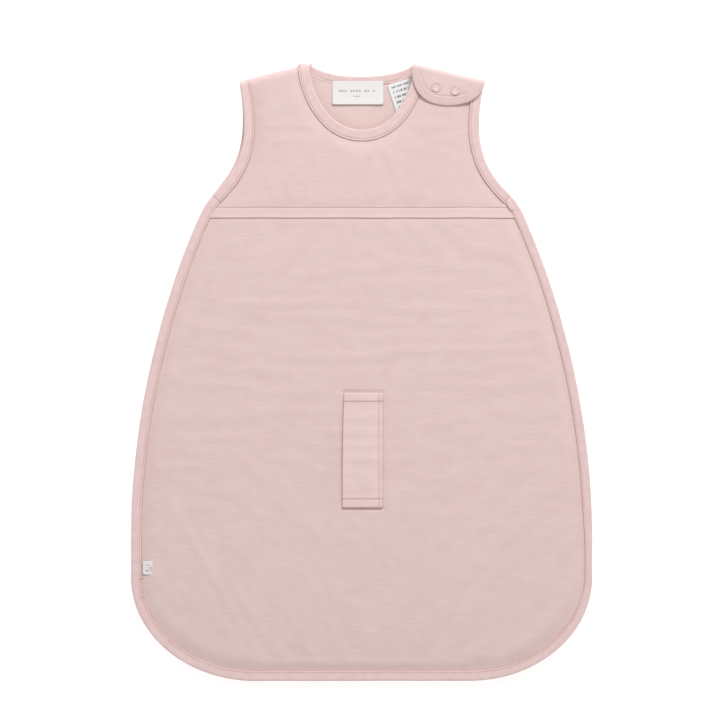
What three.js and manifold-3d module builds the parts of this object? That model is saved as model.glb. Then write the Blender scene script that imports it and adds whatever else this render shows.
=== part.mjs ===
// A newborn's zip-up sleeping bag of soft two-layer knit, lying on its back with its front up.
// Millimetres. X runs across the bag, Y from hem to neck and Z up from the surface it lies on.
import * as THREE from 'three';
import { mergeVertices } from 'three/addons/utils/BufferGeometryUtils.js';
import Module from 'manifold-3d';

const wasm = await Module();
wasm.setup();

// Outline of the bag, given for its +X half and mirrored for the other.
const halfLength = 315;
const sideRadius = 828;
const sideCentre = new THREE.Vector2(-592.6, -173.5);
const sideBottomY = -200;
const armpit = new THREE.Vector2(162, 168);
const shoulderTip = new THREE.Vector2(125.5, 297);
const neckPoint = new THREE.Vector2(54, halfLength);
const frontNeckY = 247;
const backNeckY = 302.5;
const hemFlatHalf = 108.6;
const cornerHandles = [[183.7, -halfLength], [240.8, -261.3]];
const armHandles = [[145.3, 192.5], [104.9, 208.2]];
const frontNeckHandles = [[52, 285], [34, frontNeckY]];
const backNeckHandles = [[40, 305], [22, backNeckY]];

// Cloth layers, from the surface up, and the seam clearance between two pieces.
const gap = 0.3;
const outerCloth = 1.6;
const liningCloth = 1.2;
const roomInside = 7.4;
const bindingProud = 0.6;
const backBindingSunk = 0.2;
const frontBindingUnder = 0.4;
const labelCloth = 0.4;

// Widths of the bound edges.
const edgeBindingWidth = 11;
const armBindingWidth = 11;
const frontNeckBindingWidth = 12;
const backNeckBindingWidth = 10;
const backArmPeek = 4.5;
const cutPastLine = 6;

// Yoke seam and the folded band that covers it.
const yokeSeamY = 162;
const bandLowY = 155.5;
const bandHighY = 169.5;
const bandThickness = 1;

// Slot for a car-seat harness, front and back, with a sewn welt over the front one.
const slotHalfWidth = 8;
const slotLowY = -128;
const slotHighY = -32;
const slotFacingWidth = 9;
const facingCloth = 0.8;
const weltLeft = -19.2;
const openPast = 5;
const weltRight = 21.8;
const weltLowY = -138.5;
const weltHighY = -20.9;
const weltHem = 9.5;
const weltSeam = 4.4;
const weltLift = 4.3;
const weltCloth = 1.2;

// Shoulder flap and its two snaps.
const foldNeckEnd = new THREE.Vector2(50, 310.7);
const foldArmEnd = new THREE.Vector2(124.8, 292.5);
const flapLowPoint = new THREE.Vector2(87, 271);
const flapNeckHandles = [[51, 288], [60, 271.5]];
const flapArmHandles = [[104, 270.7], [120, 277]];
const flapFacingCloth = 1;
const flapOuterCloth = 1.4;
const flapBindingX = 111;
const frontTabInset = 4;
const snapPlaces = [new THREE.Vector2(75.9, 290.2), new THREE.Vector2(95.1, 287)];
const snapRadius = 5.4;
const ringHoleRadius = 3.1;
const studRadius = 2;
const socketHoleRadius = 3;
const ringHeight = 0.8;
const studFlange = 0.5;
const studHeight = 1.6;
const socketHeight = 1.3;
const socketRoof = 0.2;
const ringEdge = 0.25;
const studEdge = 0.4;

// Closed seams on the left: how far in from the outline each starts and ends.
const sideSeamSpan = [4, 8];
const shoulderSeamSpan = [1, 7];
const shoulderSeamEnd = 0.03;

// Zip: distances inward from the outline, and the slider's place and size.
const coilOuter = 4.1;
const coilInner = 5.9;
const tapeOuter = 4.6;
const tapeInner = 5.4;
const coilHeight = 1;
const coilGap = 1.2;
const sliderAngle = THREE.MathUtils.degToRad(23.2);
const stopAngle = THREE.MathUtils.degToRad(23.95);
const sliderLength = 9;
const sliderPlate = 1.2;
const pullLength = 17;
const pullWidth = 3;
const pullThickness = 0.9;
const pullNear = 1.75;
const pullPastPivot = 2.6;
const sliderPost = { length: 3, halfHeight: 0.25 };
const ear = { near: 0.9, from: 1, to: 3, outer: 2.6 };
const overlap = 0.1;
const topStopHalf = 1.2;
const endTack = { halfLength: 3.2, halfWidth: 0.9, inward: 2.8, along: 4 };
const zipClear = 0.5;
const garage = { x: 156, y: 165, halfLength: 6.5, halfWidth: 2.6, turn: 1.99, height: 0.8, steps: 14 };

// Labels.
const neckLabel = { left: -30, right: 22.1, low: 273.4, high: 297.4 };
const careLabel = { cornerX: 26.2, cornerY: 292.7, width: 26.3, length: 60, turnDeg: 18.2 };
const sideTab = { left: -223.1, right: -211.2, low: -206.4, high: -192.8, lift: 0.9 };

// Steps along each stretch of the outline.
const sideSteps = 14;
const cornerSteps = 9;
const armSteps = 8;
const neckSteps = 8;
const roundSteps = 20;

// Heights of the layers, worked out from the cloth above.
const backPanelTop = outerCloth;
const backLiningLow = backPanelTop + gap;
const backLiningTop = backLiningLow + liningCloth;
const backBindingTop = backLiningTop + bindingProud - backBindingSunk;
const frontLiningLow = backLiningTop + roomInside;
const frontLiningTop = frontLiningLow + liningCloth;
const frontPanelLow = frontLiningTop + gap;
const frontPanelTop = frontPanelLow + outerCloth;
const frontBindingLow = frontLiningLow - frontBindingUnder;
const frontBindingTop = frontPanelTop + bindingProud;
const overFront = frontPanelTop + gap;
const studFlangeTop = overFront + studFlange;
const studTop = overFront + studHeight;
const socketLow = studFlangeTop + gap;
const socketTop = socketLow + socketHeight;
const flapFacingLow = socketTop + gap;
const flapFacingTop = flapFacingLow + flapFacingCloth;
const flapOuterLow = flapFacingTop + gap;
const flapOuterTop = flapOuterLow + flapOuterCloth;
const zipMiddle = (backBindingTop + frontBindingLow) / 2;

const colours = {
  rose: 0xe4c8c4,
  roseDeep: 0xdcc0bc,
  label: 0xf2efea,
  zip: 0xd9b9b6,
  snap: 0xe0c0be,
};

// Plane curves.

function mirrored(points) {
  return points.map((point) => new THREE.Vector2(-point.x, point.y)).reverse();
}

function joined(...lines) {
  const result = [];
  for (const line of lines) {
    for (const point of line) {
      const last = result[result.length - 1];
      if (!last || last.distanceTo(point) > 0.01) {
        result.push(point);
      }
    }
  }
  return result;
}

function bezier(start, firstHandle, secondHandle, end, steps) {
  const curve = new THREE.CubicBezierCurve(
    start,
    new THREE.Vector2(...firstHandle),
    new THREE.Vector2(...secondHandle),
    end,
  );
  return curve.getPoints(steps);
}

// Points of the open line moved to its left by distance.
function offsetLine(line, distance) {
  return line.map((point, index) => {
    const before = line[Math.max(index - 1, 0)];
    const after = line[Math.min(index + 1, line.length - 1)];
    const along = after.clone().sub(before).normalize();
    return new THREE.Vector2(point.x - along.y * distance, point.y + along.x * distance);
  });
}

// The +X half of the hem, corner and side, from the middle of the hem up to the armpit.
function rightEdge() {
  const angleAt = (height) => Math.asin((height - sideCentre.y) / sideRadius);
  const lowAngle = angleAt(sideBottomY);
  const highAngle = angleAt(armpit.y);
  const side = [];
  for (let step = 0; step <= sideSteps; step += 1) {
    const angle = THREE.MathUtils.lerp(lowAngle, highAngle, step / sideSteps);
    side.push(new THREE.Vector2(
      sideCentre.x + sideRadius * Math.cos(angle),
      sideCentre.y + sideRadius * Math.sin(angle),
    ));
  }
  const hemEnd = new THREE.Vector2(hemFlatHalf, -halfLength);
  const corner = bezier(hemEnd, ...cornerHandles, side[0], cornerSteps);
  return joined([new THREE.Vector2(0, -halfLength)], corner, side);
}

function rightArmhole(peek) {
  const handles = armHandles.map(([x, y]) => [x + peek, y]);
  return bezier(armpit, ...handles, shoulderTip, armSteps);
}

function neckLine(handles, middleY) {
  const half = bezier(neckPoint, handles[0], handles[1], new THREE.Vector2(0, middleY), neckSteps);
  return joined(half, mirrored(half));
}

// Every line runs counter-clockwise round the bag, so that the cloth is on its left.
const halfEdge = rightEdge();
const edgeLine = joined(mirrored(halfEdge), halfEdge);
const seamCount = sideSteps + 3;
const seamLine = edgeLine.slice(0, seamCount);
const zipLine = edgeLine.slice(seamCount);
const frontNeckLine = neckLine(frontNeckHandles, frontNeckY);
const backNeckLine = neckLine(backNeckHandles, backNeckY);
const rightArmLine = rightArmhole(0);
const leftArmLineFront = mirrored(rightArmhole(0));
const leftArmLineBack = mirrored(rightArmhole(backArmPeek));
const frontOutline = joined(edgeLine, rightArmLine, frontNeckLine, leftArmLineFront.slice(0, -1));
const backOutline = joined(edgeLine, rightArmLine, backNeckLine, leftArmLineBack.slice(0, -1));

// Solids.

function solidOf(geometry) {
  geometry.deleteAttribute('normal');
  geometry.deleteAttribute('uv');
  const merged = mergeVertices(geometry);
  return new wasm.Manifold(new wasm.Mesh({
    numProp: 3,
    vertProperties: merged.attributes.position.array,
    triVerts: merged.index.array,
  }));
}

function geometryOf(solid) {
  const mesh = solid.getMesh();
  const geometry = new THREE.BufferGeometry();
  geometry.setAttribute('position', new THREE.BufferAttribute(mesh.vertProperties, mesh.numProp));
  geometry.setIndex(new THREE.BufferAttribute(mesh.triVerts, 1));
  return geometry;
}

function slab(outline, low, high) {
  const shape = new THREE.Shape(outline);
  const geometry = new THREE.ExtrudeGeometry(shape, { depth: high - low, bevelEnabled: false });
  geometry.translate(0, 0, low);
  return solidOf(geometry);
}

function strip(line, near, far, low, high) {
  return slab([...offsetLine(line, near), ...offsetLine(line, far).reverse()], low, high);
}

function rectangle(left, right, low, high) {
  return [
    new THREE.Vector2(left, low),
    new THREE.Vector2(right, low),
    new THREE.Vector2(right, high),
    new THREE.Vector2(left, high),
  ];
}

function block(left, right, front, back, low, high) {
  return slab(rectangle(left, right, front, back), low, high);
}

// Everything beyond the flap's fold line, moved inward by inset.
function beyondFold(inset, low, high) {
  const along = foldArmEnd.clone().sub(foldNeckEnd).normalize();
  const inward = new THREE.Vector2(along.y, -along.x).multiplyScalar(inset);
  const start = foldNeckEnd.clone().addScaledVector(along, -20).add(inward);
  const end = foldArmEnd.clone().addScaledVector(along, 20).add(inward);
  const outward = new THREE.Vector2(-along.y, along.x).multiplyScalar(40);
  return slab([start, end, end.clone().add(outward), start.clone().add(outward)], low, high);
}

function turned(points, steps) {
  const profile = points.map(([radius, height]) => new THREE.Vector2(radius, height));
  const geometry = new THREE.LatheGeometry(profile, steps);
  geometry.rotateX(Math.PI / 2);
  return solidOf(geometry);
}

// Front and back cloth share one recipe: an outline, less the bound edges, less the harness slot.
const clothSpan = [-5, 40];
const wellClear = 400;

function clothPiece(outline, bindings, low, high) {
  let piece = slab(outline, low, high);
  for (const [line, width] of bindings) {
    piece = piece.subtract(strip(line, -cutPastLine, width + gap, ...clothSpan));
  }
  return piece.subtract(block(-slotHalfWidth, slotHalfWidth, slotLowY, slotHighY, ...clothSpan));
}

function bindingPiece(outline, line, width, low, high) {
  return strip(line, 0, width, low, high).intersect(slab(outline, ...clothSpan));
}

const frontBindings = [
  [edgeLine, edgeBindingWidth],
  [rightArmLine, armBindingWidth],
  [leftArmLineFront, armBindingWidth],
  [frontNeckLine, frontNeckBindingWidth],
];
const backBindings = [
  [edgeLine, edgeBindingWidth],
  [rightArmLine, armBindingWidth],
  [leftArmLineBack, armBindingWidth],
  [backNeckLine, backNeckBindingWidth],
];
const frontTrim = beyondFold(frontTabInset, ...clothSpan);
const backTrim = beyondFold(gap, ...clothSpan);

const object = new THREE.Group();

function addNode(name, solid, colour, roughness = 0.95, metalness = 0) {
  const material = new THREE.MeshStandardMaterial({ color: colour, roughness, metalness });
  const mesh = new THREE.Mesh(geometryOf(solid), material);
  mesh.name = name;
  object.add(mesh);
}

// Back of the bag.

function addBack() {
  const panel = clothPiece(backOutline, backBindings, 0, backPanelTop).subtract(backTrim);
  const lining = clothPiece(backOutline, backBindings, backLiningLow, backLiningTop);
  addNode('back_panel', panel, colours.rose);
  addNode('back_lining', lining.subtract(backTrim), colours.rose);
  const bind = (line, width) => bindingPiece(backOutline, line, width, 0, backBindingTop);
  const rightArm = bind(rightArmLine, armBindingWidth).subtract(backTrim);
  const leftArm = bind(leftArmLineBack, armBindingWidth);
  const neck = bind(backNeckLine, backNeckBindingWidth).subtract(backTrim);
  const edge = bind(edgeLine, edgeBindingWidth)
    .subtract(strip(rightArmLine, -cutPastLine, armBindingWidth + gap, ...clothSpan))
    .subtract(strip(leftArmLineBack, -cutPastLine, armBindingWidth + gap, ...clothSpan));
  addNode('back_edge_binding', edge, colours.roseDeep);
  addNode('back_neck_binding', neck, colours.roseDeep);
  addNode('left_armhole_binding_back', leftArm, colours.roseDeep);
  addNode('right_armhole_binding_back', rightArm, colours.roseDeep);
}

// Front of the bag.

function addFront() {
  const sheet = clothPiece(frontOutline, frontBindings, frontPanelLow, frontPanelTop).subtract(frontTrim);
  const lining = clothPiece(frontOutline, frontBindings, frontLiningLow, frontLiningTop);
  const upper = block(-wellClear, wellClear, yokeSeamY + gap / 2, wellClear, ...clothSpan);
  const lower = block(-wellClear, wellClear, -wellClear, yokeSeamY - gap / 2, ...clothSpan);
  addNode('front_yoke', sheet.intersect(upper), colours.rose);
  addNode('front_lower_panel', sheet.intersect(lower), colours.rose);
  addNode('front_lining', lining.subtract(frontTrim), colours.rose);
  const bind = (line, width) =>
    bindingPiece(frontOutline, line, width, frontBindingLow, frontBindingTop).subtract(frontTrim);
  const edge = bind(edgeLine, edgeBindingWidth)
    .subtract(strip(rightArmLine, -cutPastLine, armBindingWidth + gap, ...clothSpan))
    .subtract(strip(leftArmLineFront, -cutPastLine, armBindingWidth + gap, ...clothSpan));
  addNode('front_edge_binding', edge, colours.roseDeep);
  addNode('front_neck_binding', bind(frontNeckLine, frontNeckBindingWidth), colours.roseDeep);
  addNode('left_armhole_binding_front', bind(leftArmLineFront, armBindingWidth), colours.roseDeep);
  addNode('right_armhole_binding_front', bind(rightArmLine, armBindingWidth), colours.roseDeep);

  // The band is a fold of cloth over the yoke seam, between the two bound sides.
  const bandRow = block(-wellClear, wellClear, bandLowY, bandHighY, overFront, overFront + bandThickness);
  const insideEdges = slab(frontOutline, ...clothSpan)
    .subtract(strip(edgeLine, -cutPastLine, edgeBindingWidth + gap, ...clothSpan))
    .subtract(strip(rightArmLine, -cutPastLine, armBindingWidth + gap, ...clothSpan))
    .subtract(strip(leftArmLineFront, -cutPastLine, armBindingWidth + gap, ...clothSpan));
  addNode('yoke_band', bandRow.intersect(insideEdges), colours.roseDeep);
}

// The closed seams between front and back: the left shoulder and the left side.

function addSeams() {
  const seamLow = backBindingTop + gap;
  const seamHigh = frontBindingLow - gap;
  addNode('left_side_seam', strip(seamLine, ...sideSeamSpan, seamLow, seamHigh), colours.rose);
  const leftTip = new THREE.Vector2(-shoulderTip.x, shoulderTip.y);
  const leftNeck = new THREE.Vector2(-neckPoint.x, neckPoint.y);
  const ends = [shoulderSeamEnd, 1 - shoulderSeamEnd];
  const shoulder = ends.map((share) => leftNeck.clone().lerp(leftTip, share));
  addNode('left_shoulder_seam', strip(shoulder, ...shoulderSeamSpan, seamLow, seamHigh), colours.rose);
}

// Harness slots.

function slotRing(low, high) {
  const around = slotFacingWidth;
  const frame = block(
    -slotHalfWidth - around,
    slotHalfWidth + around,
    slotLowY - around,
    slotHighY + around,
    low,
    high,
  );
  return frame.subtract(block(-slotHalfWidth, slotHalfWidth, slotLowY, slotHighY, ...clothSpan));
}

function addHarnessSlots() {
  addNode('back_slot_facing', slotRing(backLiningTop + gap, backLiningTop + gap + facingCloth), colours.rose);
  const frontRing = slotRing(frontLiningLow - gap - facingCloth, frontLiningLow - gap);
  addNode('front_slot_facing', frontRing, colours.rose);
  const plateLow = overFront + weltLift;
  const plateTop = plateLow + weltCloth;
  const cover = block(weltLeft, weltRight, weltLowY, weltHighY, overFront, plateTop);
  const passage = block(
    weltLeft - openPast,
    weltRight - weltSeam,
    weltLowY + weltHem,
    weltHighY - weltHem,
    overFront - openPast,
    plateLow,
  );
  addNode('front_harness_welt', cover.subtract(passage), colours.rose);
}

// Zip, in the side wall between the two edge bindings.

function besideArc(angle, near, far, from, to, low, high) {
  const solid = block(sideRadius - far, sideRadius - near, from, to, low, high);
  const degrees = THREE.MathUtils.radToDeg(angle);
  return solid.rotate([0, 0, degrees]).translate([sideCentre.x, sideCentre.y, 0]);
}

function addZip() {
  const zipLow = backBindingTop + gap;
  const zipHigh = frontBindingLow - gap;
  const backCoilTop = zipMiddle - coilGap / 2;
  const frontCoilLow = zipMiddle + coilGap / 2;
  const backCoilLow = backCoilTop - coilHeight;
  const frontCoilTop = frontCoilLow + coilHeight;
  const backTape = strip(zipLine, tapeOuter, tapeInner, zipLow, backCoilLow - gap);
  const frontTape = strip(zipLine, tapeOuter, tapeInner, frontCoilTop + gap, zipHigh);
  const trimmed = zipLine.slice(1, -1);
  addNode('zip_tape_back', backTape, colours.zip, 0.8);
  addNode('zip_tape_front', frontTape, colours.zip, 0.8);
  const backCoil = strip(trimmed, coilOuter, coilInner, backCoilLow, backCoilTop);
  const frontCoil = strip(trimmed, coilOuter, coilInner, frontCoilLow, frontCoilTop);
  addNode('zip_coil_back', backCoil, colours.zip, 0.5);
  addNode('zip_coil_front', frontCoil, colours.zip, 0.5);
  const stopSizes = [coilOuter, coilInner, -topStopHalf, topStopHalf, backCoilLow, frontCoilTop];
  addNode('zip_top_stop', besideArc(stopAngle, ...stopSizes), colours.zip, 0.5);

  const endPoint = zipLine[0];
  const endBox = block(
    -endTack.halfLength,
    endTack.halfLength,
    -endTack.halfWidth,
    endTack.halfWidth,
    zipLow + zipClear,
    zipHigh - zipClear,
  );
  const endDirection = zipLine[1].clone().sub(endPoint).normalize();
  const turnDegrees = THREE.MathUtils.radToDeg(endDirection.angle());
  const inward = new THREE.Vector2(-endDirection.y, endDirection.x);
  const endCentre = endPoint.clone()
    .addScaledVector(inward, endTack.inward)
    .addScaledVector(endDirection, endTack.along);
  addNode(
    'zip_end_tack',
    endBox.rotate([0, 0, turnDegrees]).translate([endCentre.x, endCentre.y, 0]),
    colours.zip,
    0.6,
  );
}

function addSlider() {
  const half = sliderLength / 2;
  const low = backBindingTop + zipClear;
  const high = frontBindingLow - zipClear;
  const outerNear = coilOuter - gap - sliderPlate;
  const outerFar = coilOuter - gap;
  const innerNear = coilInner + gap;
  const at = (...sizes) => besideArc(sliderAngle, ...sizes);
  const outerPlate = at(outerNear, outerFar, -half, half, low, high);
  const innerPlate = at(innerNear, innerNear + sliderPlate, -half, half, low, high);
  const postLow = zipMiddle - sliderPost.halfHeight;
  const postHigh = zipMiddle + sliderPost.halfHeight;
  const post = at(outerFar - overlap, innerNear + overlap, half - sliderPost.length, half, postLow, postHigh);
  const earSide = (from, to) => at(ear.near, outerNear + overlap, ear.from, ear.to, from, to);
  const earLow = earSide(zipMiddle - ear.outer, zipMiddle - pullWidth / 2 - gap);
  const earHigh = earSide(zipMiddle + pullWidth / 2 + gap, zipMiddle + ear.outer);
  const slider = outerPlate.add(innerPlate).add(post).add(earLow).add(earHigh);
  addNode('zip_slider', slider, colours.zip, 0.45, 0.2);
  const pull = at(
    pullNear - pullThickness / 2,
    pullNear + pullThickness / 2,
    pullPastPivot - pullLength,
    pullPastPivot,
    zipMiddle - pullWidth / 2,
    zipMiddle + pullWidth / 2,
  );
  addNode('zip_pull', pull, colours.zip, 0.45, 0.2);
}

function addGarage() {
  const { x, y, halfLength: long, halfWidth: wide, turn, height, steps } = garage;
  const outline = new THREE.EllipseCurve(x, y, long, wide, 0, 2 * Math.PI, false, turn);
  const low = frontBindingTop + gap;
  addNode('zip_garage', slab(outline.getPoints(steps).slice(0, -1), low, low + height), colours.roseDeep);
}

// Shoulder flap: an extension of the back that folds over the front and snaps to it.

function addFlap() {
  const neckSide = bezier(foldNeckEnd, ...flapNeckHandles, flapLowPoint, armSteps);
  const armSide = bezier(flapLowPoint, ...flapArmHandles, foldArmEnd, armSteps);
  const outline = joined(neckSide, armSide);
  const outer = slab(outline, flapOuterLow, flapOuterTop);
  const bindingSide = block(flapBindingX, wellClear, 0, wellClear, ...clothSpan);
  const clothSide = block(0, flapBindingX - gap, 0, wellClear, ...clothSpan);
  addNode('shoulder_flap_outer', outer.intersect(clothSide), colours.rose);
  addNode('flap_armhole_binding', outer.intersect(bindingSide), colours.roseDeep);
  addNode('shoulder_flap_facing', slab(outline, flapFacingLow, flapFacingTop), colours.rose);
}

function pressRing(low, high) {
  return turned([
    [ringHoleRadius, low],
    [snapRadius, low],
    [snapRadius, high - ringEdge],
    [snapRadius - ringEdge, high],
    [ringHoleRadius + ringEdge, high],
    [ringHoleRadius, high - ringEdge],
    [ringHoleRadius, low],
  ], roundSteps);
}

function snapStud() {
  return turned([
    [0, overFront],
    [snapRadius - studEdge, overFront],
    [snapRadius - studEdge, studFlangeTop],
    [studRadius, studFlangeTop],
    [studRadius, studTop - studEdge],
    [studRadius - studEdge, studTop],
    [0, studTop],
  ], roundSteps);
}

function snapSocket() {
  const roof = socketTop - socketRoof;
  return turned([
    [0, roof],
    [socketHoleRadius, roof],
    [socketHoleRadius, socketLow],
    [snapRadius - socketRoof, socketLow],
    [snapRadius - socketRoof, socketTop],
    [0, socketTop],
  ], roundSteps);
}

function addSnaps() {
  const flapRingLow = flapOuterTop + gap;
  const frontRingLow = frontLiningLow - gap - ringHeight;
  snapPlaces.forEach((place, index) => {
    const side = ['neck', 'arm'][index];
    const put = (solid) => solid.translate([place.x, place.y, 0]);
    const flapRing = pressRing(flapRingLow, flapRingLow + ringHeight);
    const frontRing = pressRing(frontRingLow, frontRingLow + ringHeight);
    addNode(`flap_snap_ring_${side}`, put(flapRing), colours.snap, 0.4);
    addNode(`flap_snap_socket_${side}`, put(snapSocket()), colours.snap, 0.4);
    addNode(`front_snap_stud_${side}`, put(snapStud()), colours.snap, 0.4);
    addNode(`front_snap_ring_${side}`, put(frontRing), colours.snap, 0.4);
  });
}

// Labels, blank, each sewn along one edge.

function addLabels() {
  const labelLow = backBindingTop + labelCloth;
  const { left, right, low, high } = neckLabel;
  addNode('neck_label', block(left, right, low, high, labelLow, labelLow + labelCloth), colours.label, 0.6);
  const care = block(0, careLabel.width, -careLabel.length, 0, labelLow, labelLow + labelCloth)
    .rotate([0, 0, careLabel.turnDeg])
    .translate([careLabel.cornerX, careLabel.cornerY, 0]);
  addNode('care_label', care, colours.label, 0.6);
  const tabLow = frontPanelTop + sideTab.lift;
  const tab = block(sideTab.left, sideTab.right, sideTab.low, sideTab.high, tabLow, tabLow + labelCloth);
  addNode('side_tab_label', tab, colours.label, 0.7);
}

addBack();
addFront();
addSeams();
addHarnessSlots();
addZip();
addSlider();
addGarage();
addFlap();
addSnaps();
addLabels();

export default object;
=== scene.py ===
import math
import bpy
import bmesh
import numpy as np
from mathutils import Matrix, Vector, noise
from mathutils.bvhtree import BVHTree
from mathutils.geometry import delaunay_2d_cdt


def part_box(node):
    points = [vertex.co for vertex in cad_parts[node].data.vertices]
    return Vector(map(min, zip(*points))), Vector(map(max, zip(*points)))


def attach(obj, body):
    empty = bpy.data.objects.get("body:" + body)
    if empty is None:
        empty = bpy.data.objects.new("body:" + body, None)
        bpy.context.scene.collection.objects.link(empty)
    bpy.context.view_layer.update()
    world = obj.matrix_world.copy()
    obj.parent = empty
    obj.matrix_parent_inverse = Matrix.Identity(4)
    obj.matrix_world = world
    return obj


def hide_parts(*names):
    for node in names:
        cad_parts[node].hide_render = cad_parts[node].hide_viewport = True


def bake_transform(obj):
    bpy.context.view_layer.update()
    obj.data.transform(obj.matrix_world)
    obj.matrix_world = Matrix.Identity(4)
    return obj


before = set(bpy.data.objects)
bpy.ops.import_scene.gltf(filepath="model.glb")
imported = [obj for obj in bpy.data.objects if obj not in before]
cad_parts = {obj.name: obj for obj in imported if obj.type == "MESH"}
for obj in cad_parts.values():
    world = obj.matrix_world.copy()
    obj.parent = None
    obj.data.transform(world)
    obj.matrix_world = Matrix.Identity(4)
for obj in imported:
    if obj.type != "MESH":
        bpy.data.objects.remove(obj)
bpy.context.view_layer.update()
scene = bpy.context.scene
mm = 0.001

# Everything below is worked out in millimetres and scaled once, when a mesh is made.

bag = {
    "halfLength": 315,
    "sideRadius": 828,
    "sideCentre": (-592.6, -173.5),
    "sideBottom": -200,
    "armpit": (162, 168),
    "shoulder": (125.5, 297),
    "neck": (54, 315),
    "frontNeck": 247,
    "backNeck": 302.5,
    "hemHalf": 108.6,
    "cornerHandles": ((183.7, -315), (240.8, -261.3)),
    "armHandles": ((145.3, 192.5), (104.9, 208.2)),
    "backArmPeek": 4.5,
    "frontNeckHandles": (52, 285, 34),
    "backNeckHandles": (40, 305, 22),
}


def corners(node):
    # The lowest and highest corner of a CAD node's box.
    return tuple(np.array(corner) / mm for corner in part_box(node))


def lowOf(node):
    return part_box(node)[0].z / mm


def topOf(node):
    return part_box(node)[1].z / mm


def replaceNodes(thing, slotName, *nodes):
    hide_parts(*nodes)


level = {
    "frontTop": topOf("front_yoke"),
    "bindTop": topOf("front_edge_binding"),
    "flapTop": topOf("shoulder_flap_outer"),
}

# Lines in the plane


def bezier(a, b, c, d, steps=28):
    t = np.linspace(0, 1, steps + 1)[:, None]
    a, b, c, d = (np.array(p, float) for p in (a, b, c, d))
    return (1 - t) ** 3 * a + 3 * (1 - t) ** 2 * t * b + 3 * (1 - t) * t * t * c + t ** 3 * d


def mirrored(line):
    return np.array(line)[::-1] * [-1, 1]


def joined(*lines):
    points = np.vstack(lines)
    step = np.linalg.norm(np.diff(points, axis=0), axis=1)
    return points[np.concatenate([[True], step > 0.01])]


def evenly(line, spacing, closed=False):
    points = np.vstack([line, line[:1]]) if closed else np.array(line)
    along = np.concatenate([[0], np.cumsum(np.linalg.norm(np.diff(points, axis=0), axis=1))])
    count = max(int(round(along[-1] / spacing)), 2)
    at = np.linspace(0, along[-1], count + 1)
    result = np.stack([np.interp(at, along, points[:, k]) for k in range(points.shape[1])], 1)
    return result[:-1] if closed else result


def leftNormals(line, closed=False):
    if closed:
        tangent = np.roll(line, -1, 0) - np.roll(line, 1, 0)
    else:
        tangent = np.gradient(line, axis=0)
    tangent = tangent[:, :2] / np.linalg.norm(tangent[:, :2], axis=1)[:, None]
    return np.stack([-tangent[:, 1], tangent[:, 0]], 1)


def shifted(line, distance, closed=False):
    return line + leftNormals(line, closed) * distance


def lengthOf(line):
    return float(np.linalg.norm(np.diff(line, axis=0), axis=1).sum())


def part(line, start, end):
    # The stretch of a line between two distances along it.
    along = np.concatenate([[0], np.cumsum(np.linalg.norm(np.diff(line, axis=0), axis=1))])
    at = np.concatenate([[start], along[(along > start) & (along < end)], [end]])
    return np.stack([np.interp(at, along, line[:, k]) for k in range(line.shape[1])], 1)


def distanceTo(points, line, closed=False):
    line = np.vstack([line, line[:1]]) if closed else line
    a, b = line[:-1], line[1:]
    best = np.full(len(points), 1e9)
    for start, end in zip(a, b):
        run = end - start
        t = np.clip(((points - start) @ run) / max(run @ run, 1e-9), 0, 1)
        best = np.minimum(best, np.linalg.norm(points - (start + t[:, None] * run), axis=1))
    return best


def inside(points, loop):
    result = np.zeros(len(points), bool)
    x, y = points[:, 0], points[:, 1]
    for (ax, ay), (bx, by) in zip(loop, np.roll(loop, -1, 0)):
        crosses = (ay > y) != (by > y)
        if ay != by:
            result ^= crosses & (x < (bx - ax) * (y - ay) / (by - ay) + ax)
    return result


def rightHalfEdge():
    cx, cy = bag["sideCentre"]
    radius = bag["sideRadius"]
    low = math.asin((bag["sideBottom"] - cy) / radius)
    high = math.asin((bag["armpit"][1] - cy) / radius)
    angle = np.linspace(low, high, 90)
    side = np.stack([cx + radius * np.cos(angle), cy + radius * np.sin(angle)], 1)
    hemEnd = (bag["hemHalf"], -bag["halfLength"])
    corner = bezier(hemEnd, *bag["cornerHandles"], side[0], 48)
    return joined([(0, -bag["halfLength"])], corner, side)


def rightArm(peek=0):
    return bezier(bag["armpit"], *[(x + peek, y) for x, y in bag["armHandles"]], bag["shoulder"])


def neckCurve(handles, middle):
    firstX, firstY, secondX = handles
    half = bezier(bag["neck"], (firstX, firstY), (secondX, middle), (0, middle))
    return joined(half, mirrored(half))


halfEdge = rightHalfEdge()
edgeLine = joined(mirrored(halfEdge), halfEdge)
rightArmLine = rightArm()
leftArmFront = mirrored(rightArmLine)
leftArmBack = mirrored(rightArm(bag["backArmPeek"]))
frontNeckLine = neckCurve(bag["frontNeckHandles"], bag["frontNeck"])
backNeckLine = neckCurve(bag["backNeckHandles"], bag["backNeck"])
rightShoulder = np.array([bag["shoulder"], bag["neck"]], float)
leftShoulder = mirrored(rightShoulder)
boundLines = [edgeLine, rightArmLine, leftArmFront, frontNeckLine]


def outlineOf(node):
    # The loops of a flat CAD node's upper face, the largest first.
    work = bmesh.new()
    work.from_mesh(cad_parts[node].data)
    bmesh.ops.remove_doubles(work, verts=work.verts, dist=1e-5)
    work.normal_update()
    faces = [f for f in work.faces if f.normal.z > 0.9]
    high = max(f.calc_center_median().z for f in faces)
    faces = [f for f in faces if f.calc_center_median().z > high - 1e-4]
    onTop = {f.index for f in faces}
    following = {}
    for face in faces:
        for loop in face.loops:
            if sum(f.index in onTop for f in loop.edge.link_faces) == 1:
                following[loop.vert.index] = loop.link_loop_next.vert.index
    place = {v.index: (v.co.x / mm, v.co.y / mm) for v in work.verts}
    work.free()
    loops = []
    while following:
        start, at = following.popitem()
        ring = [place[start]]
        while at != start:
            ring.append(place[at])
            at = following.pop(at)
        loops.append(np.array(ring))
    return sorted(loops, key=lambda ring: -np.ptp(ring[:, 0]) * np.ptp(ring[:, 1]))


# The lie of the cloth

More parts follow.
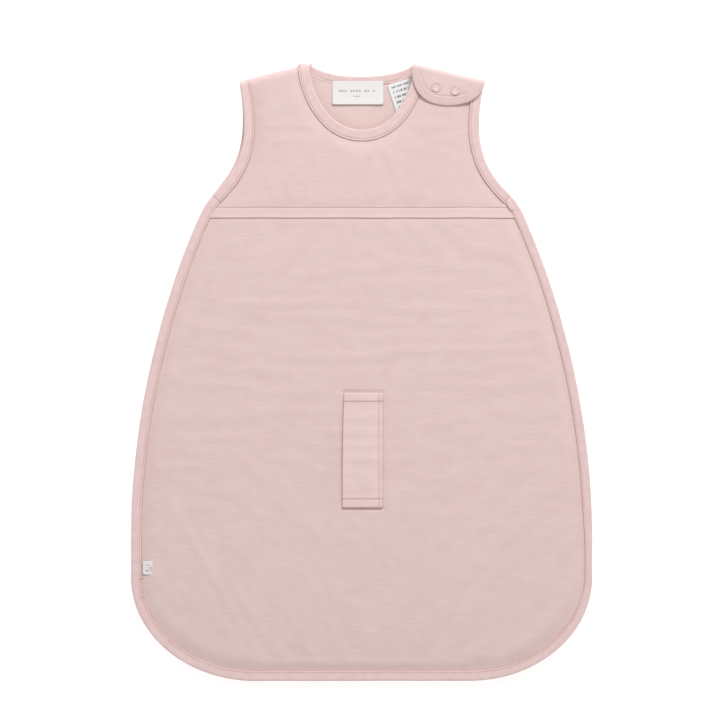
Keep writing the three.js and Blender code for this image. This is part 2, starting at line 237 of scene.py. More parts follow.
lie = {
    "rise": 2.6,            # how far the middle of the front stands above its sewn edge
    "riseWithin": 34,
    "seamDip": 1.1,
    "seamDipWithin": 3.4,
    "weltPinch": 0.9,
    "weltPinchWide": 1.7,
    "weltPinchPast": 0.6,
    "weltPinchBeside": 1.2,
    "wave": 0.55,           # each wave below is its scale across, its scale along and its seed
    "longWave": (95, 60, 1.7),
    "shortWave": (38, 30, 5.1),
    "crease": 0.22,
    "creaseWave": (60, 11, 9.3),
    "pucker": 0.2,
    "puckerWithin": 9,
    "puckerWave": (7, 7, 3.3),
    "shoulderDrop": 6.2,
    "shoulderWithin": 6.5,
    "snapCalm": 13,
    "sewnWidth": 11.5,
    "bindWave": (40, 40, 4.4),
    "bindGrain": (6, 6, 8.8),
    "backRise": 0.35,
    "backWave": (50, 40, 2.2),
    "backCrease": (30, 8, 6.6),
}
snapSpots = [sum(corners(node))[:2] / 2 for node in ("front_snap_stud_neck", "front_snap_stud_arm")]


def waviness(x, y, scaleX, scaleY, seed):
    return noise.noise(Vector((x / scaleX, y / scaleY, seed)))


def weltPinch(points):
    # The front is drawn down along the two sewn ends of the welt.
    low, high = corners("front_harness_welt")
    beside = np.clip(np.maximum(low[0] - points[:, 0], points[:, 0] - high[0]), 0, None)
    pinch = np.zeros(len(points))
    for end in (low[1] - lie["weltPinchPast"], high[1] + lie["weltPinchPast"]):
        pinch += np.exp(-((points[:, 1] - end) / lie["weltPinchWide"]) ** 2)
    return lie["weltPinch"] * pinch * np.exp(-(beside / lie["weltPinchBeside"]) ** 2)


settledTree = None


def settled(points):
    # How far the simulated sheet lies from its even dome.
    result = np.zeros(len(points))
    if settledTree is None:
        return result
    for i, (x, y) in enumerate(points):
        hit = settledTree.ray_cast(Vector((x, y, 90)), Vector((0, 0, -1)))[0]
        if hit is not None:
            result[i] = hit.z
    return result


def frontLift(points, dome=True):
    # Height over the flat front, for points (x, y) on any front piece.
    points = np.asarray(points, float)[:, :2]
    edge = np.min([distanceTo(points, line) for line in boundLines], axis=0)
    inner = np.clip(edge - lie["sewnWidth"], 0, None)
    soft = 1 - np.exp(-inner / lie["riseWithin"])
    for spot in snapSpots:
        soft = soft * (1 - np.exp(-(np.linalg.norm(points - spot, axis=1) / lie["snapCalm"]) ** 2))
    lift = np.zeros(len(points))
    if dome:
        lift += lie["rise"] * soft - lie["seamDip"] * np.exp(-inner / lie["seamDipWithin"])
        lift -= weltPinch(points)
        lift += settled(points)
    for i, (x, y) in enumerate(points):
        wave = waviness(x, y, *lie["longWave"]) + 0.5 * waviness(x, y, *lie["shortWave"])
        crease = waviness(x, y, *lie["creaseWave"])
        lift[i] += soft[i] * (lie["wave"] * wave + lie["crease"] * crease)
        if dome:
            near = math.exp(-inner[i] / lie["puckerWithin"])
            lift[i] += lie["pucker"] * near * waviness(x, y, *lie["puckerWave"])
    shoulder = np.clip(1 - distanceTo(points, leftShoulder) / lie["shoulderWithin"], 0, 1)
    return lift - lie["shoulderDrop"] * shoulder ** 2.6


def bindLift(points):
    small = [0.25 * waviness(x, y, *lie["bindWave"]) + 0.14 * waviness(x, y, *lie["bindGrain"]) for x, y in points]
    return frontLift(points, dome=False) + np.array(small)


def backLift(points):
    points = np.asarray(points, float)[:, :2]
    ripple = [0.5 + 0.5 * waviness(x, y, *lie["backWave"]) + 0.25 * waviness(x, y, *lie["backCrease"])
              for x, y in points]
    return lie["backRise"] * np.clip(ripple, 0, None)


# Making meshes


def meshObject(name, vertices, faces, material, body="bag"):
    mesh = bpy.data.meshes.new(name)
    mesh.from_pydata([tuple(v) for v in np.asarray(vertices) * mm], [], [tuple(f) for f in faces])
    mesh.validate()
    mesh.shade_smooth()
    thing = bpy.data.objects.new(name, mesh)
    scene.collection.objects.link(thing)
    mesh.materials.append(material)
    if body:
        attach(thing, body)
    return thing


def markSeamShade(thing, values):
    # How deep in a seam each point sits, the mask by which the cloth's materials paint shade into the seams.
    crease = thing.data.attributes.new("crease", "FLOAT", "POINT")
    crease.data.foreach_set("value", np.clip(values, 0, 1))


def softOutline(loop, spacing):
    # Long straight stretches are divided, corners are kept.
    points = []
    for start, end in zip(loop, np.roll(loop, -1, 0)):
        count = max(int(math.ceil(np.linalg.norm(end - start) / spacing)), 1)
        points += [start + (end - start) * k / count for k in range(count)]
    return np.array(points)


def plateMesh(loops, spacing, roundOver, finer=None):
    # Triangles over an outline with holes: points, faces and each point's distance to the rim.
    # finer is a set of extra points, for details that the even spacing would miss.
    rims = [softOutline(loop, spacing) for loop in loops]
    outer = rims[0]
    low, high = outer.min(0), outer.max(0)
    rows = np.arange(low[1], high[1], spacing * 0.866)
    grid = []
    for r, y in enumerate(rows):
        xs = np.arange(low[0] + (spacing / 2 if r % 2 else 0), high[0], spacing)
        grid.append(np.stack([xs, np.full(len(xs), y)], 1))
    grid = np.vstack(grid)

    def rimDistance(points):
        return np.min([distanceTo(points, rim, True) for rim in rims], axis=0)

    def within(points):
        result = inside(points, outer)
        for hole in rims[1:]:
            result &= ~inside(points, hole)
        return result

    if finer is not None:
        clear = [np.min(np.linalg.norm(finer - point, axis=1)) > 0.5 * spacing for point in grid]
        grid = np.vstack([grid[clear], finer])
    grid = grid[within(grid)]
    grid = grid[rimDistance(grid) > roundOver + 0.55 * spacing]
    rings = []
    for share in (0.12, 0.35, 0.65, 1.0):
        for rim in rims:
            for side in (1, -1):
                ring = shifted(rim, share * roundOver * side, True)
                ring = ring[within(ring)]
                rings.append(ring[rimDistance(ring) > share * roundOver * 0.93])
    inner = np.vstack([grid, *rings])
    points = np.vstack([*rims, inner])
    edges, base = [], 0
    for rim in rims:
        edges += [(base + i, base + (i + 1) % len(rim)) for i in range(len(rim))]
        base += len(rim)
    result = delaunay_2d_cdt([Vector(p) for p in points], edges, [], 0, 1e-4, False)
    flat = np.array([tuple(v) for v in result[0]])
    faces = np.array([f for f in result[2] if len(f) == 3])
    faces = faces[within(flat[faces].mean(1))]
    onRim = rimDistance(flat) < 1e-3
    faces = faces[~onRim[faces].all(1)]
    used = np.unique(faces)
    renumber = np.full(len(flat), -1)
    renumber[used] = np.arange(len(used))
    flat, faces = flat[used], renumber[faces]
    a, b, c = flat[faces[:, 0]], flat[faces[:, 1]], flat[faces[:, 2]]
    turn = (b[:, 0] - a[:, 0]) * (c[:, 1] - a[:, 1]) - (b[:, 1] - a[:, 1]) * (c[:, 0] - a[:, 0])
    faces[turn < 0] = faces[turn < 0][:, ::-1]
    return flat, faces, rimDistance(flat)


def softPlate(name, loops, low, top, material, lift=None, spacing=4, roundOver=1.2, body="bag", relief=None,
              shape=None, finer=None, shadeInSeams=None):
    # A closed piece of cloth with rounded edges. lift moves both faces, relief only the upper one.
    flat, faces, rim = plateMesh(loops, spacing, roundOver, finer)
    rise = lift(flat) if lift else np.zeros(len(flat))
    extra = relief(flat, rim) if relief else np.zeros(len(flat))
    middle, half = (top + low + extra) / 2 + rise, (top - low + extra) / 2
    share = np.clip(rim / roundOver, 0, 1)
    half = half * np.sqrt(np.clip(1 - (1 - share) ** 2, 0, 1))
    onRim = rim < 1e-3
    under = np.arange(len(flat))
    under[~onRim] = len(flat) + np.arange(int((~onRim).sum()))
    upper = np.column_stack([flat, middle + half])
    lower = np.column_stack([flat, middle - half])[~onRim]
    vertices = np.vstack([upper, lower])
    if shape:
        vertices = shape(vertices)
    allFaces = np.vstack([faces, under[faces][:, ::-1]])
    thing = meshObject(name, vertices, allFaces, material, body)
    if shadeInSeams:
        markSeamShade(thing, np.concatenate([shadeInSeams(flat, rim), np.zeros(len(lower))]))
    return thing


def sweep(name, path, section, material, lift=None, body="bag", roundEnds=(0, 0), pivot=0, widths=None,
          closed=False, tipWidth=0.45, shadeInSeams=None):
    # section is (inward, height) points round the strip's cut end. widths scales it along the path.
    path = np.asarray(path, float)
    section = np.asarray(section, float)
    normal = leftNormals(path, closed)
    count, size = len(path), len(section)
    height = np.tile(section[:, 1], count)
    along = np.concatenate([[0], np.cumsum(np.linalg.norm(np.diff(path, axis=0), axis=1))])
    keep = np.ones(count)
    for end, reach in ((along, roundEnds[0]), (along[-1] - along, roundEnds[1])):
        if reach:
            keep *= np.maximum(np.sqrt(1 - np.clip(1 - end / reach, 0, 1) ** 2), 0.05)
    middleIn = section[:, 0].mean()
    inward = middleIn + (section[None, :, 0] - middleIn) * np.maximum(keep, tipWidth)[:, None]
    if widths is not None:
        inward = inward * np.asarray(widths)[:, None]
    flat = (path[:, None, :2] + inward[:, :, None] * normal[:, None, :]).reshape(-1, 2)
    height = pivot + (height - pivot) * np.repeat(keep, size)
    if lift is not None:
        height = height + lift(flat)
    ring = np.arange(size)
    faces = []
    for i in range(count if closed else count - 1):
        here, there = i * size, (i + 1) % count * size
        faces += [(here + j, here + (j + 1) % size, there + (j + 1) % size, there + j) for j in ring]
    if not closed:
        faces.append(tuple(ring[::-1]))
        faces.append(tuple(ring + (count - 1) * size))
    thing = meshObject(name, np.column_stack([flat, height]), faces, material, body)
    recalculateNormals(thing)
    addRunUv(thing, along, section, closed)
    if shadeInSeams is not None:
        markSeamShade(thing, np.tile(shadeInSeams, count))
    return thing


def recalculateNormals(thing):
    work = bmesh.new()
    work.from_mesh(thing.data)
    bmesh.ops.recalc_face_normals(work, faces=work.faces)
    work.to_mesh(thing.data)
    work.free()


def addRunUv(thing, along, section, closed):
    # u runs along the strip and v round it, both in metres.
    size = len(section)
    around = np.linalg.norm(np.roll(section, -1, 0) - section, axis=1)
    across = np.concatenate([[0], np.cumsum(around)])
    layer = thing.data.uv_layers.new(name="run")
    for polygon in thing.data.polygons:
        places = [divmod(thing.data.loops[k].vertex_index, size) for k in polygon.loop_indices]
        lastRing = closed and max(r for r, j in places) - min(r for r, j in places) > 1
        lastSide = len(places) == 4 and max(j for r, j in places) - min(j for r, j in places) == size - 1
        for k, (ring, j) in zip(polygon.loop_indices, places):
            u = along[-1] if lastRing and ring == 0 else along[ring]
            v = across[-1] if lastSide and j == 0 else across[j]
            layer.data[k].uv = (u * mm, v * mm)


def addFlatUv(thing, corner, along=(1, 0), across=(0, 1)):
    # UV in metres from a corner of a flat piece.
    layer = thing.data.uv_layers.new(name="run")
    corner, along, across = Vector(corner), Vector(along), Vector(across)
    for item in thing.data.loops:
        place = Vector(thing.data.vertices[item.vertex_index].co.xy) - corner * mm
        layer.data[item.index].uv = (place.dot(along), place.dot(across))


print("lines and helpers ready")

# Materials


def newGroup(name, inputs, outputs):
    tree = bpy.data.node_groups.new(name, "ShaderNodeTree")
    for label, socketType, value in inputs:
        socket = tree.interface.new_socket(name=label, in_out="INPUT", socket_type=socketType)
        if value is not None:
            socket.default_value = value
    for label, socketType in outputs:
        tree.interface.new_socket(name=label, in_out="OUTPUT", socket_type=socketType)
    return tree, tree.nodes.new("NodeGroupInput"), tree.nodes.new("NodeGroupOutput")


def feed(tree, socket, value):
    if isinstance(value, bpy.types.NodeSocket):
        tree.links.new(value, socket)
    elif value is not None:
        socket.default_value = value


def calc(tree, operation, *values):
    node = tree.nodes.new("ShaderNodeMath")
    node.operation = operation
    for socket, value in zip(node.inputs, values):
        feed(tree, socket, value)
    return node.outputs[0]


def scaled(tree, vector, scale):
    node = tree.nodes.new("ShaderNodeMapping")
    feed(tree, node.inputs["Vector"], vector)
    node.inputs["Scale"].default_value = scale
    return node.outputs[0]


def noiseValue(tree, vector, scale, detail=2.0, roughness=0.5):
    node = tree.nodes.new("ShaderNodeTexNoise")
    feed(tree, node.inputs["Vector"], vector)
    node.inputs["Scale"].default_value = scale
    node.inputs["Detail"].default_value = detail
    node.inputs["Roughness"].default_value = roughness
    return node.outputs["Fac"]


def mapRange(tree, value, low, high, newLow=0.0, newHigh=1.0):
    node = tree.nodes.new("ShaderNodeMapRange")
    for socket, given in zip(node.inputs, (value, low, high, newLow, newHigh)):
        feed(tree, socket, given)
    return node.outputs[0]


def mixColor(tree, factor, first, second, blendType="MIX"):
    node = tree.nodes.new("ShaderNodeMix")
    node.data_type = "RGBA"
    node.blend_type = blendType
    feed(tree, node.inputs[0], factor)
    feed(tree, node.inputs[6], first)
    feed(tree, node.inputs[7], second)
    return node.outputs[2]


def jerseyGroup():
    # Fine jersey: rows of small V-shaped loops, faint cross streaks and a slight mottle.
    tree, given, result = newGroup(
        "fineJersey",
        [("Vector", "NodeSocketVector", None), ("Wale", "NodeSocketFloat", 0.0011),
         ("Course", "NodeSocketFloat", 0.0009)],
        [("Height", "NodeSocketFloat"), ("Streak", "NodeSocketFloat"), ("Mottle", "NodeSocketFloat")],
    )
    split = tree.nodes.new("ShaderNodeSeparateXYZ")
    feed(tree, split.inputs[0], given.outputs["Vector"])
    wale = calc(tree, "DIVIDE", split.outputs[0], given.outputs["Wale"])
    course = calc(tree, "DIVIDE", split.outputs[1], given.outputs["Course"])
    ridge = calc(tree, "ABSOLUTE", calc(tree, "SINE", calc(tree, "MULTIPLY", wale, math.pi)))
    lean = calc(tree, "MULTIPLY", calc(tree, "PINGPONG", wale, 0.5), 1.3)
    turn = calc(tree, "MULTIPLY", calc(tree, "ADD", course, lean), 2 * math.pi)
    loop = calc(tree, "MULTIPLY_ADD", calc(tree, "SINE", turn), 0.32, 0.6)
    feed(tree, result.inputs["Height"], calc(tree, "MULTIPLY", ridge, loop))
    streak = noiseValue(tree, scaled(tree, given.outputs["Vector"], (55, 620, 55)), 1.0, 4.0, 0.65)
    feed(tree, result.inputs["Streak"], streak)
    feed(tree, result.inputs["Mottle"], noiseValue(tree, given.outputs["Vector"], 45.0, 4.0, 0.6))
    return tree


def ribGroup():
    # Narrow rib knit for bound edges: ribs across the strip, with loops along each rib.
    tree, given, result = newGroup(
        "edgeRib",
        [("Vector", "NodeSocketVector", None), ("Rib", "NodeSocketFloat", 0.0013),
         ("Loop", "NodeSocketFloat", 0.001)],
        [("Height", "NodeSocketFloat"), ("Mottle", "NodeSocketFloat")],
    )
    split = tree.nodes.new("ShaderNodeSeparateXYZ")
    feed(tree, split.inputs[0], given.outputs["Vector"])
    rib = calc(tree, "DIVIDE", split.outputs[0], given.outputs["Rib"])
    loop = calc(tree, "DIVIDE", split.outputs[1], given.outputs["Loop"])
    ridge = calc(tree, "ABSOLUTE", calc(tree, "SINE", calc(tree, "MULTIPLY", rib, math.pi)))
    lean = calc(tree, "PINGPONG", rib, 0.5)
    turn = calc(tree, "MULTIPLY", calc(tree, "ADD", loop, lean), 2 * math.pi)
    wave = calc(tree, "MULTIPLY_ADD", calc(tree, "SINE", turn), 0.2, 0.75)
    feed(tree, result.inputs["Height"], calc(tree, "MULTIPLY", ridge, wave))
    feed(tree, result.inputs["Mottle"], noiseValue(tree, given.outputs["Vector"], 120.0, 3.0, 0.6))
    return tree


def printGroup():
    # Rows of short dashes inside a margin, for a label's print. Vector is in metres from its corner.
    tree, given, result = newGroup(
        "printedRows",
        [("Vector", "NodeSocketVector", None), ("Row", "NodeSocketFloat", 0.005),
         ("Dash", "NodeSocketFloat", 0.001), ("Low Row", "NodeSocketFloat", 1.0),
         ("High Row", "NodeSocketFloat", 5.0), ("Left", "NodeSocketFloat", 0.003),
         ("Right", "NodeSocketFloat", 0.022), ("Share", "NodeSocketFloat", 0.5),
         ("Tall", "NodeSocketFloat", 0.5)],
        [("Mask", "NodeSocketFloat")],
    )
    split = tree.nodes.new("ShaderNodeSeparateXYZ")
    feed(tree, split.inputs[0], given.outputs["Vector"])
    u, v = split.outputs[0], split.outputs[1]
    rowAt = calc(tree, "DIVIDE", v, given.outputs["Row"])
    rowIndex = calc(tree, "FLOOR", rowAt)
    inRow = calc(tree, "COMPARE", calc(tree, "FRACT", rowAt), 0.5, calc(tree, "MULTIPLY", given.outputs["Tall"], 0.5))
    dashAt = calc(tree, "DIVIDE", u, given.outputs["Dash"])
    combine = tree.nodes.new("ShaderNodeCombineXYZ")
    feed(tree, combine.inputs[0], calc(tree, "FLOOR", dashAt))
    feed(tree, combine.inputs[1], rowIndex)
    white = tree.nodes.new("ShaderNodeTexWhiteNoise")
    white.noise_dimensions = "2D"
    feed(tree, white.inputs["Vector"], combine.outputs[0])
    printed = calc(tree, "LESS_THAN", white.outputs["Value"], given.outputs["Share"])
    inDash = calc(tree, "GREATER_THAN", calc(tree, "FRACT", dashAt), 0.22)
    mask = calc(tree, "MULTIPLY", calc(tree, "MULTIPLY", inRow, printed), inDash)
    limits = [("GREATER_THAN", u, "Left"), ("LESS_THAN", u, "Right")]
    limits += [("GREATER_THAN", rowAt, "Low Row"), ("LESS_THAN", rowAt, "High Row")]
    for operation, value, limit in limits:
        mask = calc(tree, "MULTIPLY", mask, calc(tree, operation, value, given.outputs[limit]))
    feed(tree, result.inputs["Mask"], mask)
    return tree


groups = {"jersey": jerseyGroup(), "rib": ribGroup(), "print": printGroup()}


def srgb(red, green, blue):
    def linear(value):
        value /= 255
        return value / 12.92 if value <= 0.04045 else ((value + 0.055) / 1.055) ** 2.4
    return (linear(red), linear(green), linear(blue), 1)


def startMaterial(name, roughness, sheen=0.0, specular=0.3):
    material = bpy.data.materials.new(name)
    material.use_nodes = True
    tree = material.node_tree
    shader = tree.nodes["Principled BSDF"]
    shader.inputs["Roughness"].default_value = roughness
    shader.inputs["Specular IOR Level"].default_value = specular
    shader.inputs["Sheen Weight"].default_value = sheen
    shader.inputs["Sheen Roughness"].default_value = 0.45
    return material, tree, shader


def useGroup(tree, name, **values):
    node = tree.nodes.new("ShaderNodeGroup")
    node.node_tree = groups[name]
    for label, value in values.items():
        feed(tree, node.inputs[label.replace("_", " ")], value)
    return node


def bumpInto(tree, shader, height, distance, strength=1.0):
    node = tree.nodes.new("ShaderNodeBump")
    node.inputs["Strength"].default_value = strength
    node.inputs["Distance"].default_value = distance
    feed(tree, node.inputs["Height"], height)
    feed(tree, shader.inputs["Normal"], node.outputs[0])


def objectCoords(tree):
    return tree.nodes.new("ShaderNodeTexCoord").outputs["Object"]


def runCoords(tree):
    node = tree.nodes.new("ShaderNodeUVMap")
    node.uv_map = "run"
    return node.outputs[0]


def seamShadeColour(tree, body):
    # Painted shade: along the seams the colour is mixed towards a deeper, darker rose, standing in for the shade there
    # and the deeper-coloured light that bounces in a seam.
    crease = tree.nodes.new("ShaderNodeAttribute")
    crease.attribute_name = "crease"
    seamShadeShare = calc(tree, "MULTIPLY", crease.outputs["Fac"], 0.85)
    return mixColor(tree, seamShadeShare, body, srgb(196, 150, 146))


def knitPit(tree, shader, height, body, dark):
    # Painted shade: the pits between the loops are painted darker; they are also rougher.
    pitShade = calc(tree, "MULTIPLY", calc(tree, "SUBTRACT", 1.0, height), 0.16)
    feed(tree, shader.inputs["Base Color"], mixColor(tree, pitShade, body, dark, "MULTIPLY"))
    feed(tree, shader.inputs["Roughness"], mapRange(tree, height, 0.0, 1.0, 0.97, 0.86))


def jerseyMaterial(name, light, dark):
    material, tree, shader = startMaterial(name, 0.92, sheen=0.12, specular=0.18)
    knit = useGroup(tree, "jersey", Vector=objectCoords(tree))
    streak = mapRange(tree, knit.outputs["Streak"], 0.35, 0.65)
    mottle = mapRange(tree, knit.outputs["Mottle"], 0.3, 0.7)
    shade = calc(tree, "MULTIPLY_ADD", streak, 0.6, calc(tree, "MULTIPLY", mottle, 0.4))
    body = seamShadeColour(tree, mixColor(tree, shade, dark, light))
    knitPit(tree, shader, knit.outputs["Height"], body, dark)
    relief = calc(tree, "MULTIPLY_ADD", streak, 0.35, knit.outputs["Height"])
    bumpInto(tree, shader, relief, 0.00022, 0.7)
    return material


def ribMaterial(name, light, dark):
    material, tree, shader = startMaterial(name, 0.92, sheen=0.12, specular=0.18)
    knit = useGroup(tree, "rib", Vector=runCoords(tree))
    mottle = mapRange(tree, knit.outputs["Mottle"], 0.3, 0.7)
    body = seamShadeColour(tree, mixColor(tree, mottle, dark, light))
    knitPit(tree, shader, knit.outputs["Height"], body, dark)
    bumpInto(tree, shader, knit.outputs["Height"], 0.00022, 0.6)
    return material


def threadMaterial(name, light, dark):
    material, tree, shader = startMaterial(name, 0.6, sheen=0.2)
    ply = noiseValue(tree, objectCoords(tree), 2600.0, 2.0)
    feed(tree, shader.inputs["Base Color"], mixColor(tree, mapRange(tree, ply, 0.35, 0.65), dark, light))
    bumpInto(tree, shader, ply, 0.0001, 0.5)
    return material


def satinMaterial(name, light, dark, ink, **rows):
    # Woven satin tape with rows of dashes for its print.
    material, tree, shader = startMaterial(name, 0.45, sheen=0.1, specular=0.4)
    vector = runCoords(tree)
    warp = noiseValue(tree, scaled(tree, vector, (3200, 260, 1)), 1.0, 2.0)
    weft = noiseValue(tree, scaled(tree, vector, (200, 2600, 1)), 1.0, 2.0)
    weave = calc(tree, "MULTIPLY_ADD", weft, 0.5, calc(tree, "MULTIPLY", warp, 0.5))
    body = mixColor(tree, mapRange(tree, weave, 0.35, 0.65), dark, light)
    mask = None
    for row in rows.values():
        one = useGroup(tree, "print", Vector=vector, **row).outputs["Mask"]
        mask = one if mask is None else calc(tree, "MAXIMUM", mask, one)
    if mask is not None:
        body = mixColor(tree, calc(tree, "MULTIPLY", mask, 0.8), body, ink)
    feed(tree, shader.inputs["Base Color"], body)
    feed(tree, shader.inputs["Roughness"], mapRange(tree, weave, 0.3, 0.7, 0.52, 0.38))
    bumpInto(tree, shader, weave, 0.00008, 0.6)
    return material


def mouldedMaterial(name, light, dark, roughness, coat=0.0, metallic=0.0):
    # Lacquered metal or nylon, with faint scuffs and a fine orange-peel skin.
    material, tree, shader = startMaterial(name, roughness, specular=0.5)
    shader.inputs["Coat Weight"].default_value = coat
    shader.inputs["Metallic"].default_value = metallic
    vector = objectCoords(tree)
    scuff = noiseValue(tree, vector, 900.0, 5.0, 0.65)
    skin = noiseValue(tree, vector, 2600.0, 2.0)
    feed(tree, shader.inputs["Base Color"], mixColor(tree, mapRange(tree, scuff, 0.35, 0.7), light, dark))
    feed(tree, shader.inputs["Roughness"], mapRange(tree, scuff, 0.3, 0.7, roughness - 0.07, roughness + 0.1))
    bumpInto(tree, shader, skin, 0.00005, 0.4)
    return material


rose = {
    "light": srgb(233, 210, 207),
    "dark": srgb(226, 200, 197),
    "edgeLight": srgb(235, 210, 207),
    "edgeDark": srgb(227, 199, 196),
    "thread": srgb(238, 208, 204),
    "threadDark": srgb(216, 176, 172),
}
careRows = {"Row": 0.0054, "Dash": 0.0011, "Low_Row": 6.3, "High_Row": 10.6, "Left": 0.0035,
            "Right": 0.0215, "Share": 0.72, "Tall": 0.46}
markRow = {"Row": 0.0278, "Dash": 0.0029, "Low_Row": 0.0, "High_Row": 1.0, "Left": 0.0062,
           "Right": 0.0456, "Share": 0.86, "Tall": 0.075}
smallRow = {"Row": 0.0056, "Dash": 0.0019, "Low_Row": 1.0, "High_Row": 2.0, "Left": 0.0215,
            "Right": 0.0305, "Share": 0.8, "Tall": 0.22}
tabRow = {"Row": 0.0027, "Dash": 0.0016, "Low_Row": 1.0, "High_Row": 4.0, "Left": 0.0028,
          "Right": 0.0093, "Share": 0.75, "Tall": 0.6}
finish = {
    "jersey": jerseyMaterial("roseJersey", rose["light"], rose["dark"]),
    "lining": jerseyMaterial("roseLining", srgb(236, 213, 209), srgb(229, 204, 200)),
    # The welt's jersey is a lighter copy of the front's: painted light for the light its raised crown catches.
    "welt": jerseyMaterial("roseWeltPaintedLight", srgb(238, 215, 212), srgb(230, 204, 201)),
    "rib": ribMaterial("roseRib", rose["edgeLight"], rose["edgeDark"]),
    "thread": threadMaterial("roseThread", rose["thread"], rose["threadDark"]),
    "neckLabel": satinMaterial("whiteSatin", srgb(235, 233, 232), srgb(224, 222, 220), srgb(176, 162, 150),
                               mark=markRow, small=smallRow),
    "careLabel": satinMaterial("printedSatin", srgb(238, 238, 238), srgb(226, 226, 226), srgb(52, 56, 62),
                               rows=careRows),
    "tabLabel": satinMaterial("tabSatin", srgb(240, 236, 232), srgb(224, 220, 215), srgb(120, 108, 102),
                              rows=tabRow),
    "snap": mouldedMaterial("roseLacquer", srgb(233, 203, 200), srgb(222, 188, 185), 0.34, coat=0.4),
    "zipTape": ribMaterial("roseTape", srgb(226, 192, 188), srgb(212, 176, 172)),
    "zip": mouldedMaterial("roseNylon", srgb(226, 192, 188), srgb(208, 170, 166), 0.42),
}

print("materials ready")

# Camera, floor and light, set up first

studio = {
    "cameraPlace": (-0.0018, 0.0122, 3.0),
    "lens": 146.5,
    "floorSize": 8.0,
    "floorLow": -0.0006,
    "floorShade": 0.93,
    "floorGlow": 0.5,         # a light table, so that no shadow shows round the bag
    "worldStrength": 0.58,
    "keyPlace": (0.6, 2.4, 2.4),
    "keySize": 1.0,
    "keyPower": 74,
}


def areaLight(name, place, size, power):
    light = bpy.data.lights.new(name, "AREA")
    light.shape = "DISK"
    light.size = size
    light.energy = power
    thing = bpy.data.objects.new(name, light)
    thing.location = place
    thing.rotation_euler = (-Vector(place)).to_track_quat("-Z", "Y").to_euler()
    scene.collection.objects.link(thing)


def setStudio():
    camera = bpy.data.objects.new("camera", bpy.data.cameras.new("camera"))
    camera.location = studio["cameraPlace"]
    camera.data.lens = studio["lens"]
    camera.data.sensor_width = 36
    scene.collection.objects.link(camera)
    scene.camera = camera
    half = studio["floorSize"] / 2
    mesh = bpy.data.meshes.new("floor")
    low = studio["floorLow"]
    mesh.from_pydata([(x, y, low) for x, y in ((-half, -half), (half, -half), (half, half), (-half, half))], [],
                     [(0, 1, 2, 3)])
    floor = bpy.data.objects.new("floor", mesh)
    scene.collection.objects.link(floor)
    material, tree, shader = startMaterial("paleFloor", 0.9, specular=0.1)
    shade = studio["floorShade"]
    grain = noiseValue(tree, objectCoords(tree), 30.0, 3.0)
    light, dark = (shade, shade, shade, 1), (shade - 0.01, shade - 0.01, shade - 0.01, 1)
    feed(tree, shader.inputs["Base Color"], mixColor(tree, grain, dark, light))
    shader.inputs["Emission Color"].default_value = (1, 1, 1, 1)
    shader.inputs["Emission Strength"].default_value = studio["floorGlow"]
    mesh.materials.append(material)
    areaLight("keyLight", studio["keyPlace"], studio["keySize"], studio["keyPower"])
    world = bpy.data.worlds.new("studio")
    world.use_nodes = True
    world.node_tree.nodes["Background"].inputs["Color"].default_value = (1, 1, 1, 1)
    world.node_tree.nodes["Background"].inputs["Strength"].default_value = studio["worldStrength"]
    scene.world = world
    scene.view_settings.view_transform = "Standard"


setStudio()
print("studio ready")

# A sheet with a little spare cloth settles over the filled bag, sewn down at its edges and at the yoke

drape = {
    "spacing": 8,
    "frames": 30,
    "spare": 0.0015,
    "supportGap": 1.4,
    "sewnWithin": 5,
    "bending": 0.5,
    "stiffness": 15.0,
    "weight": 0.006,
    "thickness": 0.0005,
    "rim": 2,
}


def bareObject(name, vertices, faces):
    mesh = bpy.data.meshes.new(name)
    mesh.from_pydata([tuple(v) for v in vertices * mm], [], [tuple(int(k) for k in f) for f in faces])
    thing = bpy.data.objects.new(name, mesh)
    scene.collection.objects.link(thing)
    return thing


def settleFront():
    flat, faces, rim = plateMesh([outlineOf("front_lining")[0]], drape["spacing"], drape["rim"])
    dome = frontLift(flat)
    sheet = bareObject("settlingSheet", np.column_stack([flat, dome]), faces)
    support = bareObject("settlingSupport", np.column_stack([flat, dome - drape["supportGap"]]), faces)
    support.modifiers.new("collide", "COLLISION")
    support.collision.thickness_outer = drape["thickness"]
    yokeY = sum(corners("yoke_band"))[1] / 2
    held = (rim < drape["sewnWithin"]) | (np.abs(flat[:, 1] - yokeY) < drape["sewnWithin"])
    sewnGroup = sheet.vertex_groups.new(name="sewn")
    sewnGroup.add([int(i) for i in np.nonzero(held)[0]], 1.0, "REPLACE")
    modifier = sheet.modifiers.new("settle", "CLOTH")
    settings = modifier.settings
    settings.quality = 6
    settings.mass = drape["weight"]
    settings.tension_stiffness = settings.compression_stiffness = drape["stiffness"]
    settings.shear_stiffness = drape["stiffness"] / 3
    settings.bending_stiffness = drape["bending"]
    settings.air_damping = 2
    settings.vertex_group_mass = "sewn"
    settings.shrink_min = -drape["spare"]
    modifier.collision_settings.distance_min = drape["thickness"]
    before = scene.frame_current
    for frameNumber in range(1, drape["frames"] + 1):
        scene.frame_set(frameNumber)
    mesh = bpy.data.meshes.new_from_object(sheet.evaluated_get(bpy.context.evaluated_depsgraph_get()))
    moved = np.array([v.co.z / mm for v in mesh.vertices]) - dome
    scene.frame_set(before)
    for thing in (sheet, support):
        bpy.data.objects.remove(thing)
    moved = np.round(moved, 2)
    moved[held] = 0
    print("cloth settled, moved", moved.min(), "to", moved.max(), "mm")
    return BVHTree.FromPolygons(np.column_stack([flat, moved]).tolist(), faces.tolist())


settledTree = settleFront()
print("front settled")

# Front and back cloth

cloth = {
    "tuck": 4.5,            # how far a panel runs in under its bound edge
    "tuckWithin": 13,
    "tuckEvery": 2.5,
    "tipReach": 5,
    "tipRoom": 0.8,         # over that reach the cloth stays this far inside the left shoulder's tip
    "leftInset": 0.25,
    "frontInset": 8.3,
    "backInset": 4.6,
    "past": 12,
    "spacing": 4.2,
    "liningSpacing": 7,
    "roundOver": 0.9,
}


